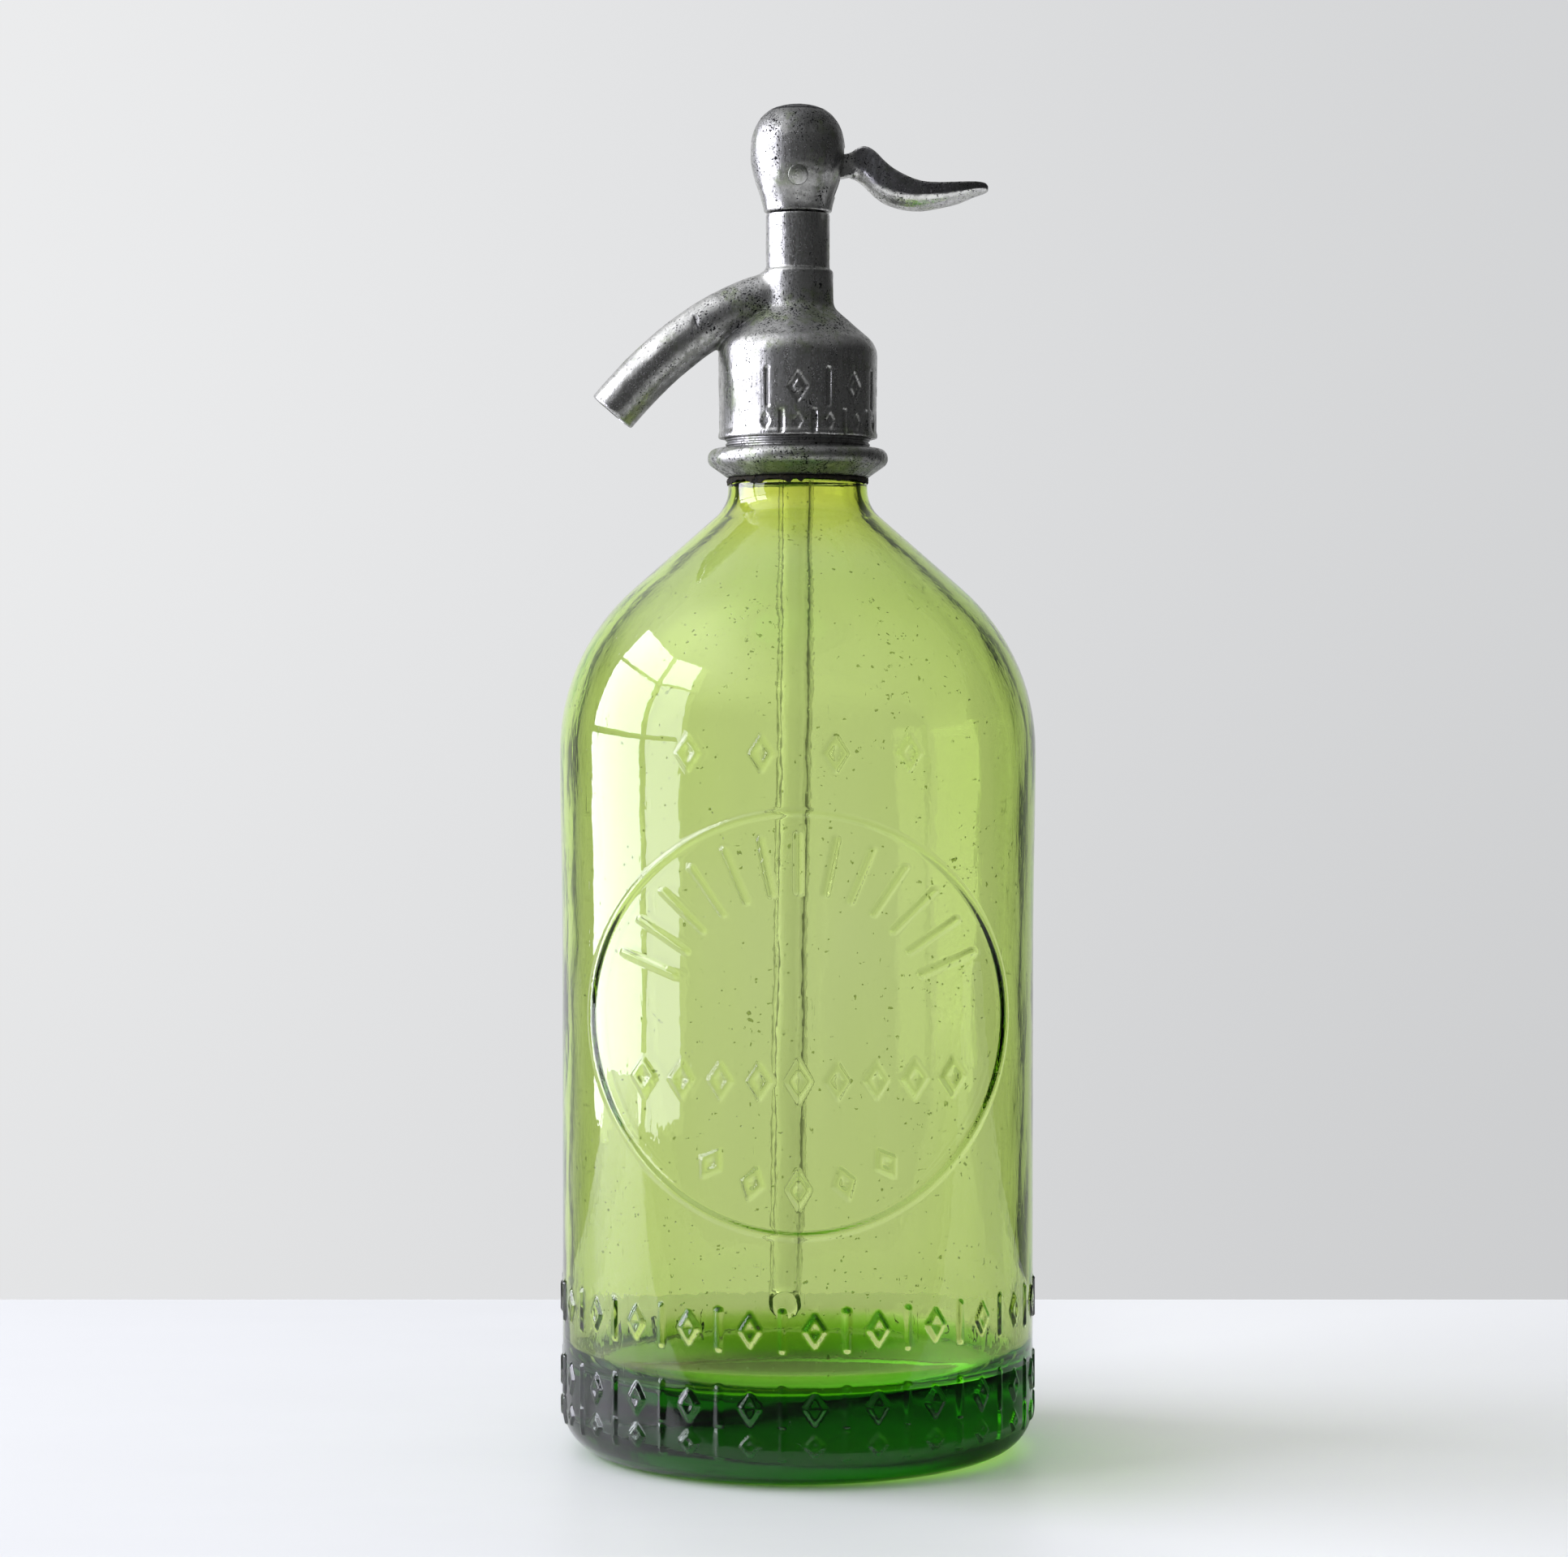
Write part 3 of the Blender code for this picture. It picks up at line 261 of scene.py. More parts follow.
def makeTin(name, pitting, dulling, onLever=False):
    material, graph, shader, where = newMaterial(name, {"Metallic": 1.0})
    x, y, z = graph.axes(where)
    patches = graph.grain(where, 90, 4.0, 0.6)
    mottle = graph.grain(where, 700, 4.0, 0.65)
    streaks = graph.grain(where, 1000, 3.0, 0.6, (1, 1, 0.05))
    speck = graph.grain(where, 2300, 2.0, 0.5)
    fine = graph.grain(where, 5200, 1.0, 0.5)
    seldom = graph.grain(where, 260, 3.0, 0.6)
    # the casting stays rough on the crown, on the bell's shoulder and low on the collar
    upper, lower = agedTin["roughCrown"]
    crown = z.ramp(*upper, 0.0, 0.6) + z.ramp(*lower, 0.0, 0.6)
    shoulder = z.band(*agedTin["roughShoulder"]) * x.hypot(y).ramp(16 * mm, 20 * mm, 1.0, 0.2)
    low = z.fall(*agedTin["roughFoot"])
    coarse = (crown + shoulder * 0.55 + low * 0.5).least(1.0)
    shadeAndDarkLines = creaseShadeAndDarkLines(x, y, z)
    if onLever:
        up = graph.axes(graph.node("ShaderNodeNewGeometry", out=1))[2]
        out = x.ramp(*agedTin["blade"])
        dish = up.ramp(0.55, 0.80) * out
        side = abs(up + 0.05).fall(0.28, 0.60) * out * (0.35 + speck * 0.5)
        coarse = coarse.most(dish)
    dull = (patches * 0.55 + mottle * 0.40 + streaks * 0.30 + coarse * 0.22 + dulling).ramp(0.50, 0.84)
    pits = (speck + (seldom - 0.5) * 0.46 + coarse * 0.09).ramp(pitting, pitting + 0.05)
    dots = (fine + (patches - 0.5) * 0.35 + coarse * 0.10).ramp(0.66, 0.72, 0.0, 0.75)
    pits = pits.most(dots)
    green = graph.grain(where, 120, 2.0) * 0.7 + mottle * 0.3 + shoulder * 0.06 + low * 0.08
    green = green.ramp(0.52, 0.66)
    colour = graph.blend(dull, agedTin["bright"], agedTin["dull"])
    colour = graph.blend(green * (dull * 0.5 + 0.3), colour, agedTin["green"])
    # painted shade: the crown is darkened, as if less light fell on it from above; its roughness is the
    # casting's own
    colour = graph.blend((crown * 0.65).least(0.8), colour, agedTin["crown"])
    # painted light on the lever, by the way its faces point: shade on the dished top and sides, and a
    # highlight in the band underneath
    if onLever:
        colour = graph.blend(dish * (0.55 + speck * 0.5), colour, agedTin["dish"])
        colour = graph.blend(side, colour, agedTin["side"])
        rubbedSkinAndSheenBand = up.band(-0.92, -0.62, -0.42, -0.20) * out * (1.0 - dull * 0.5)
        colour = graph.blend(rubbedSkinAndSheenBand, colour, agedTin["paintedHighlight"])
    # pits, with the painted shade in the groove and crease and the dark lines
    colour = graph.blend(pits.most(shadeAndDarkLines), colour, agedTin["pit"])
    rough = agedTin["roughness"] + dull * 0.16 + (streaks - 0.5) * 0.22 + pits * 0.3
    rough = rough + coarse * 0.12 + shadeAndDarkLines * 0.3
    height = mottle * (0.4 + coarse * 0.9) + patches * 1.0 + streaks * 0.55 - pits * 0.6
    values = {"Base Color": colour, "Roughness": rough, "Normal": bumped(graph, height, agedTin["depth"])}
    graph.fill(shader, values)
    return material


def makePlain(name, first, second, metallic, roughness, scale, depth):  # for the inner pieces
    material, graph, shader, where = newMaterial(name, {"Metallic": metallic, "Specular IOR Level": 0.2})
    spots = graph.grain(where, scale, 4.0, 0.6)
    rings = graph.grain(where, scale * 2, 2.0, 0.5, (0.1, 0.1, 1))
    colour = graph.blend(spots.ramp(0.35, 0.65), first, second)
    rough = roughness + (spots - 0.5) * 0.25
    normal = bumped(graph, spots * 0.6 + rings * 0.4, depth)
    graph.fill(shader, {"Base Color": colour, "Roughness": rough, "Normal": normal})
    return material


plain = {  # first and second colour, metallic, roughness, scale and depth of the grain
    "brass": ("dull_brass", (0.50, 0.37, 0.16, 1), (0.30, 0.20, 0.08, 1), 1.0, 0.38, 400, 0.03 * mm),
    "steel": ("spring_steel", (0.52, 0.52, 0.51, 1), (0.30, 0.28, 0.26, 1), 1.0, 0.35, 500, 0.02 * mm),
    "rubber": ("black_rubber", (0.028, 0.027, 0.026, 1), (0.05, 0.048, 0.044, 1), 0.0, 0.7, 500, 0.04 * mm),
    "packing": (
        "crumbling_packing",
        (0.006, 0.006, 0.005, 1),
        (0.020, 0.017, 0.010, 1),
        0.0,
        0.85,
        900,
        0.15 * mm,
    ),
}
greenValues = [greenGlass[key] for key in ("absorbing", "density", "waves", "scratches")]
finish = {
    "green": makeGlass("green_glass", *greenValues, tinted=True),
    "clear": makeGlass("clear_glass", (0.88, 0.95, 0.62, 1), 60.0, 0.05 * mm, 0.01 * mm, rough=0.12),
    "tin": makeTin("aged_tin", 0.635, 0.0),
    "roughTin": makeTin("pitted_tin", 0.63, 0.02),
    "leverTin": makeTin("thumbed_tin", 0.61, 0.03, onLever=True),
    **{key: makePlain(*values) for key, values in plain.items()},
}
print("materials are ready")


# Meshes
def linked(name, data):
    made = bpy.data.objects.new(name, data)
    bpy.context.scene.collection.objects.link(made)
    return made


def place(mesh, name, material, body, slot, replaced=()):  # a finished piece on its body
    made = linked(name, mesh)
    mesh.name = name
    mesh.materials.clear()
    mesh.materials.append(material)
    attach(made, body)
    if replaced:
        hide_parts(*replaced)
    print(name + ":", len(mesh.polygons), "faces")
    return made


def edit(mesh, change):  # through bmesh
    made = bmesh.new()
    made.from_mesh(mesh)
    change(made)
    made.to_mesh(mesh)
    made.free()
    return mesh


def newMesh(name, points=(), faces=()):
    mesh = bpy.data.meshes.new(name)
    mesh.from_pydata(points, [], faces)
    return mesh


def evaluatedMesh(made):  # the mesh with its modifiers, which are then gone with their object
    mesh = bpy.data.meshes.new_from_object(made.evaluated_get(bpy.context.evaluated_depsgraph_get()))
    bpy.data.objects.remove(made)
    return mesh


def arc(centre, radius, start, end, step):  # points from start to end, in degrees from +radius
    count = max(2, math.ceil(abs(math.radians(end - start)) * radius / step))
    angles = [math.radians(start + (end - start) * i / count) for i in range(count + 1)]
    return [(centre[0] + radius * math.cos(a), centre[1] + radius * math.sin(a)) for a in angles]


def arcBelow(fillet, filletRadius, outerRadius, arcRadius, slope):
    # centre of the outward arc that a straight slope joins smoothly to the hollow fillet above it
    normal = (math.sin(slope), math.cos(slope))
    reach = normal[0] * fillet[0] + normal[1] * fillet[1] - filletRadius
    middle = outerRadius - arcRadius
    return middle, (reach - arcRadius - normal[0] * middle) / normal[1]


def stepped(points, step):  # the same outline with no piece longer than step
    made = [points[0]]
    for a, b in zip(points, points[1:]):
        count = max(1, math.ceil(math.dist(a, b) / step - 0.01))
        for i in range(1, count + 1):
            made.append((a[0] + (b[0] - a[0]) * i / count, a[1] + (b[1] - a[1]) * i / count))
    return made


def turnedMesh(name, profile, columns, closed=False):
    # the profile has the solid on its right, seen with +radius to the right and +height up
    points = []
    rings = []
    for radius, height in profile:
        if radius < 1e-7:
            rings.append([len(points)] * columns)
            points.append((0, 0, height))
            continue
        rings.append(list(range(len(points), len(points) + columns)))
        for j in range(columns):
            angle = 2 * math.pi * j / columns
            points.append((radius * math.cos(angle), radius * math.sin(angle), height))
    pairs = list(zip(rings, rings[1:]))
    if closed:
        pairs.append((rings[-1], rings[0]))
    faces = []
    for one, two in pairs:
        for j in range(columns):
            k = (j + 1) % columns
            face = (one[j], two[j], two[k], one[k])
            faces.append(tuple(dict.fromkeys(face)))
    mesh = newMesh(name, points, faces)
    mesh.shade_smooth()
    return mesh


def coordinates(mesh):
    found = np.zeros(len(mesh.vertices) * 3, np.float64)
    mesh.vertices.foreach_get("co", found)
    return found.reshape(-1, 3)


def setCoordinates(mesh, points):
    mesh.vertices.foreach_set("co", points.astype(np.float32).ravel())
    mesh.update()


def combined(mesh, helpers):  # without the helpers' solids
    made = linked("whole", mesh)
    tools = [linked(f"helper{i}", helper) for i, helper in enumerate(helpers)]
    for tool in tools:
        modifier = made.modifiers.new(tool.name, "BOOLEAN")
        modifier.operation = "DIFFERENCE"
        modifier.solver = "MANIFOLD"
        modifier.object = tool
    result = evaluatedMesh(made)
    for tool in tools:
        bpy.data.objects.remove(tool)
    result.shade_smooth()
    result.set_sharp_from_angle(angle=math.radians(35))
    return result


def loft(name, rings):  # closed, with flat ends
    points = [point for ring in rings for point in ring]
    around = len(rings[0])
    faces = []
    for i in range(len(rings) - 1):
        for j in range(around):
            k = (j + 1) % around
            faces.append((i * around + j, i * around + k, (i + 1) * around + k, (i + 1) * around + j))
    faces += [tuple(range(around)), tuple(range(len(points) - around, len(points)))]
    mesh = newMesh(name, points, faces)
    return edit(mesh, lambda made: bmesh.ops.recalc_face_normals(made, faces=made.faces))


def tubeMesh(name, line, radii, around):
    rings = []
    for i, spot in enumerate(line):
        ahead = (line[min(i + 1, len(line) - 1)] - line[max(i - 1, 0)]).normalized()
        side = ahead.cross(Vector((0, 1, 0))).normalized()
        across = side.cross(ahead)
        angles = [2 * math.pi * j / around for j in range(around)]
        rings.append([spot + radii[i] * (math.cos(a) * side + math.sin(a) * across) for a in angles])
    return loft(name, rings)


def boxMesh(name, low, high, turn=None):
    middle = (Vector(low) + Vector(high)) / 2
    fit = Matrix.Translation(middle) @ Matrix.Diagonal((*(Vector(high) - Vector(low)), 1))
    mesh = edit(newMesh(name), lambda made: bmesh.ops.create_cube(made, size=1, matrix=fit))
    if turn:
        mesh.transform(turn)
    return mesh


# Geometry Nodes
def geometryTree(name, inputs):
    tree = bpy.data.node_groups.new(name, "GeometryNodeTree")
    tree.interface.new_socket("Geometry", in_out="INPUT", socket_type="NodeSocketGeometry")
    tree.interface.new_socket("Geometry", in_out="OUTPUT", socket_type="NodeSocketGeometry")
    tree.interface.new_socket("Material", in_out="INPUT", socket_type="NodeSocketMaterial")
    for label, value in inputs.items():
        socket = tree.interface.new_socket(label, in_out="INPUT", socket_type="NodeSocketFloat")
        socket.default_value = value
    graph = Graph(tree)
    entry = tree.nodes.new("NodeGroupInput")
    wires = {socket.name: Wire(graph, socket) for socket in entry.outputs if socket.name}
    return tree, graph, wires


def finishTree(graph, geometry, wires):
    realized = graph.node("GeometryNodeRealizeInstances", {}, {0: geometry})
    values = {"Geometry": realized, "Material": wires["Material"]}
    finished = graph.node("GeometryNodeSetMaterial", {}, values)
    output = graph.tree.nodes.new("NodeGroupOutput")
    graph.fill(output, {0: finished})


def setInputs(modifier, values):
    for socket in modifier.node_group.interface.items_tree:
        if socket.in_out == "INPUT" and socket.name in values:
            modifier[socket.identifier] = values[socket.name]


def runTrees(mesh, material, runs):  # runs are (tree, values) pairs, one after another
    made = linked("scratch", mesh)
    for tree, values in runs:
        modifier = made.modifiers.new(tree.name, "NODES")
        modifier.node_group = tree
        setInputs(modifier, {**values, "Material": material})
    return evaluatedMesh(made)


def raiseSkin(graph, wires, height, only):  # moves the outer skin straight out from the axis
    position = graph.node("GeometryNodeInputPosition")
    x, y, z = graph.axes(position)
    radius = x.hypot(y)
    out = {0: x / radius * height, 1: y / radius * height, 2: 0.0}
    offset = graph.node("ShaderNodeCombineXYZ", {}, out)
    values = {"Geometry": wires["Geometry"], "Selection": only, "Offset": offset}
    finishTree(graph, graph.node("GeometryNodeSetPosition", {}, values), wires)


def markShape(graph, wires, across, along, cell):
    # height of one mark from its own place: a bar, or a lozenge whose middle can be sunk
    odd = ((cell * 0.5).fraction() * 2.0).rounded()
    lozenge = wires["Lozenge"] * (1.0 - odd * wires["Alternate"])
    bar = abs(across).hypot((abs(along) - wires["Half length"]).most(0.0))
    bar = bar.fall(wires["Stroke"] * 0.5, wires["Stroke"] * 0.5 + wires["Slope"])
    wide = wires["Half width"]
    tall = wires["Half length"]
    edge = (abs(across) / wide + abs(along) / tall - 1.0) * (wide * tall / wide.hypot(tall))
    full = edge.fall(0.0 - wires["Slope"], 0.0)
    inner = 0.0 - wires["Slope"] - wires["Stroke"]
    middle = edge.fall(inner - wires["Slope"], inner)
    outline = full - middle * wires["Sunk"]
    return (bar + (outline - bar) * lozenge) * wires["Raise"]


markInputs = {
    "Outside radius": 50 * mm,
    "Middle": 0.0,
    "Half length": 4 * mm,
    "Half width": 2 * mm,
    "Lozenge": 0.0,
    "Alternate": 0.0,
    "Sunk": 1.0,
    "Stroke": 1 * mm,
    "Slope": 0.4 * mm,
    "Raise": 0.4 * mm,
}


def markTree(name, inputs, placed):
    # placed gives each point's place across and along its mark, the mark's number, and 1 where marks are
    tree, graph, wires = geometryTree(name, {**markInputs, **inputs})
    x, y, z = graph.axes(graph.node("GeometryNodeInputPosition"))
    across, along, cell, inside = placed(wires, x, y, z)
    height = markShape(graph, wires, across, along, cell) * inside
    raiseSkin(graph, wires, height, x.hypot(y).above(wires["Outside radius"]))
    return tree


def inRow(wires, x, y, z):  # a row round the axis
    share = x.angleTo(0.0 - y) / (2 * math.pi) * wires["Count"] - wires["Phase"]
    cell = share.rounded()
    across = (share - cell) * (2 * math.pi) / wires["Count"] * x.hypot(y)
    inside = cell.above(wires["First"] - 0.5) * cell.below(wires["Last"] + 0.5)
    return across, z - wires["Middle"], cell, inside


def inLine(wires, x, y, z):  # a straight row on the front
    cell = (x / wires["Pitch"] - wires["Shift"]).rounded() + wires["Shift"]
    inside = abs(cell).below(wires["Half count"] + 0.25) * y.below(0.0)
    return x - cell * wires["Pitch"], z - wires["Middle"], cell - wires["Shift"], inside


def inFan(wires, x, y, z):  # marks that point at the middle of the ring on the front
    up = (z - wires["Middle"]) * (1.0 - wires["Downwards"] * 2.0)
    angle = x.angleTo(up)
    cell = (angle / wires["Step"]).rounded()
    far = x.hypot(up)
    inside = abs(cell).below(wires["Half count"] + 0.25) * y.below(0.0)
    return (angle - cell * wires["Step"]) * far, far - wires["Ring"], cell, inside


def inRing(wires, x, y, z):  # one plain ring on the front: a bar without ends
    return x.hypot(z - wires["Middle"]) - wires["Ring"], z * 0.0, z * 0.0, y.below(0.0)


markTrees = {
    "row": markTree("row_of_marks", {"Count": 40.0, "First": -99.0, "Last": 99.0, "Phase": 0.0}, inRow),
    "line": markTree("line_of_marks", {"Pitch": 8 * mm, "Half count": 4.0, "Shift": 0.0}, inLine),
    "fan": markTree(
        "fan_of_marks",
        {"Ring": 30 * mm, "Step": 0.2, "Half count": 5.0, "Downwards": 0.0},
        inFan,
    ),
    "ring": markTree("plain_ring", {"Ring": 30 * mm}, inRing),
}


# Camera, light and table
view = {
    "lens": 90.0,
    "distance": 0.914,  # from the siphon's axis
    "eyeHeight": 0.1794,
    "eyeLeft": 0.0032,
    "tilt": 1.46,  # degrees down
}
roomLight = {  # ramps: from one place to another, then the level at each
    "wallSides": (-0.32, 0.32, 0.87, 0.65),
    "wallHeight": (-0.16, 0.10, 0.93, 1.0),
    "behind": (0.50, 0.97, 0.08, 0.90),
    "above": (0.30, 0.85, 0.0, 2.4),
    "aboveSides": (-0.8, -0.1, 1.0, 0.12),
    "sides": (-0.9, 0.9, 1.2, 0.45),
    "floor": (-0.60, -0.22, 0.85, 0.0),
    "wallEdge": (0.82, 0.885, 0.95, 0.0),  # past this the wall behind ends, for what is seen through glass
    "wallAside": (0.05, 0.30),  # and here the next wall begins
    "tintSides": (-0.3, 0.3),
    "tints": ((0.985, 0.99, 1.0, 1), (0.975, 0.985, 1.0, 1)),
    "passes": 5.5,  # through glass, and no further than the tube inside
}
tableTop = {
    "half": 1.6,  # of its width
    "back": 0.217,
    "front": 0.13,
    "thick": 0.03,
    "corner": 0.002,
    "roughness": 0.42,
    "shades": ((0.665, 0.67, 0.67, 1), (0.72, 0.725, 0.725, 1)),
    # painted shade and light, as ramps from left to right, each with its colour: darker on the left, where
    # the window lights the table strongly, and lighter on the right, in the bottle's shadow
    "sides": (
        ((-0.35, 0.05, 0.7, 0.0), (0.56, 0.565, 0.565, 1)),
        ((0.0, 0.12, 0.0, 0.8), (0.87, 0.875, 0.875, 1)),
    ),
    # painted light on the table: the green light through the foot, and a glow by emission under the glass,
    # where it gathers light: place, ramp outward and colour
    "glow": ((0.060, 0.012), (0.0, 0.05, 0.22, 0.0), (0.60, 0.86, 0.38, 1)),
    "under": (0.008, (0.034, 0.050, 0.55, 0.0), (0.62, 1.0, 0.25, 1)),
}


def makeCamera():
    data = bpy.data.cameras.new("camera")
    data.lens = view["lens"]
    data.sensor_width = 36
    data.clip_start = 0.01
    camera = linked("camera", data)
    camera.location = (-view["eyeLeft"], -view["distance"], view["eyeHeight"])
    camera.rotation_euler = (math.radians(90 - view["tilt"]), 0, 0)
    bpy.context.scene.camera = camera


def hit(graph, kind, above=0.5):  # 1 after more than so many bounces of a kind
    return graph.node("ShaderNodeLightPath", out=kind + " Depth").above(above)


def makeWorld():
    world = bpy.data.worlds.new("room")
    world.use_nodes = True
    bpy.context.scene.world = world
    graph = Graph(world.node_tree)
    x, y, z = graph.axes(graph.node("ShaderNodeTexCoord", out="Generated"))
    light = roomLight
    pale = x.ramp(*light["wallSides"]) * z.ramp(*light["wallHeight"])
    above = z.ramp(*light["above"]) * x.ramp(*light["aboveSides"])
    room = (y.ramp(*light["behind"]) + above) * x.ramp(*light["sides"])
    room = room.most(z.ramp(*light["floor"]))
    within = 1.0 - hit(graph, "Transmission", light["passes"])
    through = hit(graph, "Transmission") * within * (1.0 - hit(graph, "Diffuse"))
    level = pale + (room - pale) * hit(graph, "Glossy")
    beside = y.ramp(*light["wallEdge"]) * y.ramp(*light["wallAside"])  # the dark between two walls
    level = level * (1.0 - through * beside)
    tint = graph.blend(x.ramp(*light["tintSides"]), *light["tints"])
    background = world.node_tree.nodes["Background"]
    graph.fill(background, {"Color": tint, "Strength": level})


def pane(name, centre, size, turn, radiance, mirrored):  # a soft lit pane
    data = bpy.data.lights.new(name, "AREA")
    data.shape = "RECTANGLE"
    data.size, data.size_y = size
    data.energy = radiance * math.pi * size[0] * size[1]
    data.color = window["tint"]
    data.use_nodes = True
    graph = Graph(data.node_tree)
    through = hit(graph, "Transmission") * (1.0 - hit(graph, "Diffuse"))
    values = {"Color": graph.blend(hit(graph, "Glossy"), white, mirrored)}
    values["Strength"] = 1.0 - through * (1.0 - window["throughGlass"])
    graph.fill(data.node_tree.nodes["Emission"], values)
    lamp = linked(name, data)
    lamp.location = centre
    lamp.rotation_euler = turn


window = {
    "distance": 1.0,
    "foot": -0.03,
    "rows": ((0.0, 0.28), (0.315, 0.71), (0.735, 1.02)),  # each row of panes, from its foot to its head
    # bearings of the edges, in degrees to the left of the camera, and how bright in each row
    "columns": (
        (79.5, 114.5, (7.6, 7.6, 7.6)),
        (57.0, 76.0, (4.6, 4.6, 7.4)),
    ),
    "tint": (0.94, 0.95, 1.07),
    "mirrored": (1.22, 1.19, 1.20, 1),  # its tint in reflections
    "throughGlass": 0.25,
    "overhead": ((-0.45, -0.1, 1.3), (0.9, 0.7), (0, 0, 0), 1.0, (0.15, 0.15, 0.16, 1)),
}


def makeLights():
    for i, (start, end, bright) in enumerate(window["columns"]):
        angles = (math.radians(start), math.radians(end))
        left, right = (Vector((-math.sin(a), -math.cos(a), 0)) * window["distance"] for a in angles)
        turn = (math.radians(90), 0, math.radians(-(start + end) / 2))
        for j, (low, high) in enumerate(window["rows"]):
            centre = (left + right) / 2 + Vector((0, 0, window["foot"] + (low + high) / 2))
            size = (left - right).length, high - low
            pane(f"pane{i}{j}", centre, size, turn, bright[j], window["mirrored"])
    pane("overhead", *window["overhead"])


def makeTable():
    t = tableTop
    mesh = boxMesh("table", (-t["half"], -t["front"], -t["thick"]), (t["half"], t["back"], 0))
    corner = {"offset": t["corner"], "segments": 3, "affect": "EDGES"}
    edit(mesh, lambda made: bmesh.ops.bevel(made, geom=made.edges[:], **corner))
    values = {"Roughness": t["roughness"], "Specular IOR Level": 0.35}
    material, graph, shader, where = newMaterial("white_table", values)
    x, y, z = graph.axes(where)
    colour = graph.blend(graph.grain(where, 9, 4.0, 0.6, (1, 2.5, 1)), *t["shades"])
    # painted shade on the left and painted light on the right
    for ramp, shade in t["sides"]:
        colour = graph.blend(x.ramp(*ramp), colour, shade)
    # painted light: a green pool through the foot, and an emitted glow under the bottle
    (right, front), ramp, tint = t["glow"]
    glow = (x - right).hypot(y * 0.6 + front).ramp(*ramp)
    values = {"Base Color": graph.blend(glow, colour, tint)}
    right, ramp, values["Emission Color"] = t["under"]
    values["Emission Strength"] = (x - right).hypot(y).ramp(*ramp)
    graph.fill(shader, values)
    mesh.materials.append(material)
    table = linked("table", mesh)


makeCamera()
makeWorld()
makeLights()
makeTable()
scene = bpy.context.scene
scene.view_settings.view_transform = "Standard"
scene.cycles.use_denoising = True
scene.cycles.max_bounces = 24
scene.cycles.transmission_bounces = 20
scene.cycles.glossy_bounces = 10
scene.cycles.sample_clamp_indirect = 6.0
print("camera, light and table are ready")


# Bottle
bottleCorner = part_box("bottle")[1]
bottle = {
    "columns": 118,
    "rowStep": 2.95 * mm,
    "finer": ((2.7 * mm, 1), (1.08 * mm, 2)),  # how far round the marks, and into how many cuts
    "height": bottleCorner.z,
    "radius": bottleCorner.x - 0.5 * mm,  # without the swell
    "swell": 0.5 * mm,
    "swellLength": 45 * mm,
    "wall": 3.3 * mm,
    "corner": 10.0 * mm,
    "contact": 3.4 * mm,
    "pushUp": 4.5 * mm,
    "floor": 19.6 * mm,
    "floorCorner": 7.0 * mm,
    "floorBowl": 6.5 * mm,  # how much lower its middle is
    "shoulder": 50 * mm,
    "slope": math.radians(41.2),
    "neckFillet": 8.5 * mm,
    "neck": 16.2 * mm,
    "neckWall": 2.8 * mm,
    "neckStraight": 1.6 * mm,
    "neckEdge": 0.8 * mm,
    "groove": 12.8 * mm,
    "grooveHeight": 15 * mm,
    "bead": 15.6 * mm,
    "beadHeight": 4.5 * mm,
    "beadRound": 1.4 * mm,
    "mouth": 10.5 * mm,
    "innerWaves": 0.25 * mm,
}
marks = {
    "raise": 0.48 * mm,
    "faint": 0.50 * mm,  # the marks in the ring and over it
    "stroke": 0.8 * mm,
    "slope": 0.38 * mm,
    "wideSlope": 0.58 * mm,
    "ringMiddle": 103.4 * mm,
    "ring": 46.7 * mm,
    "count": 48,  # in each row round the foot
    "halfWidth": 2.6 * mm,
    # from the ring's middle, half length, step and half count
    "fan": (35.5 * mm, 6.2 * mm, math.radians(11.5), 6.0),
    "lowerFan": (36.5 * mm, 4.5 * mm, math.radians(16), 2.0),
    "lowerFanWidth": 3 * mm,
    # height, pitch, half count and shift
    "lines": ((90.9 * mm, 8.6 * mm, 4.0, 0.0), (163 * mm, 16.3 * mm, 1.5, 0.5)),
    "lineHalf": (5.0 * mm, 3.2 * mm),  # half length and half width
    # height, half length and how many to each side
    "rows": ((35.75 * mm, 4.14 * mm, 12), (18.6 * mm, 4.1 * mm, 99), (10.3 * mm, 2.8 * mm, 99)),
}


def bottleInside(b, corner, shoulder, fillet, turn, grooveBottom, fine):
    points = []
    for i in range(12):
        share = i / 12
        points.append((corner[0] * share, b["floor"] - b["floorBowl"] * (1 - share * share)))
    points += arc(corner, b["floorCorner"], -90, 0, fine)
    points += arc(shoulder, b["shoulder"] - b["wall"], 0, turn, b["rowStep"])
    points += arc(fillet, b["neckFillet"] + b["neckWall"], 180 + turn, 180, fine)
    points += [(b["neck"] - b["neckWall"], grooveBottom), (b["mouth"], grooveBottom + b["neckWall"])]
    return points + [(b["mouth"], b["height"])]


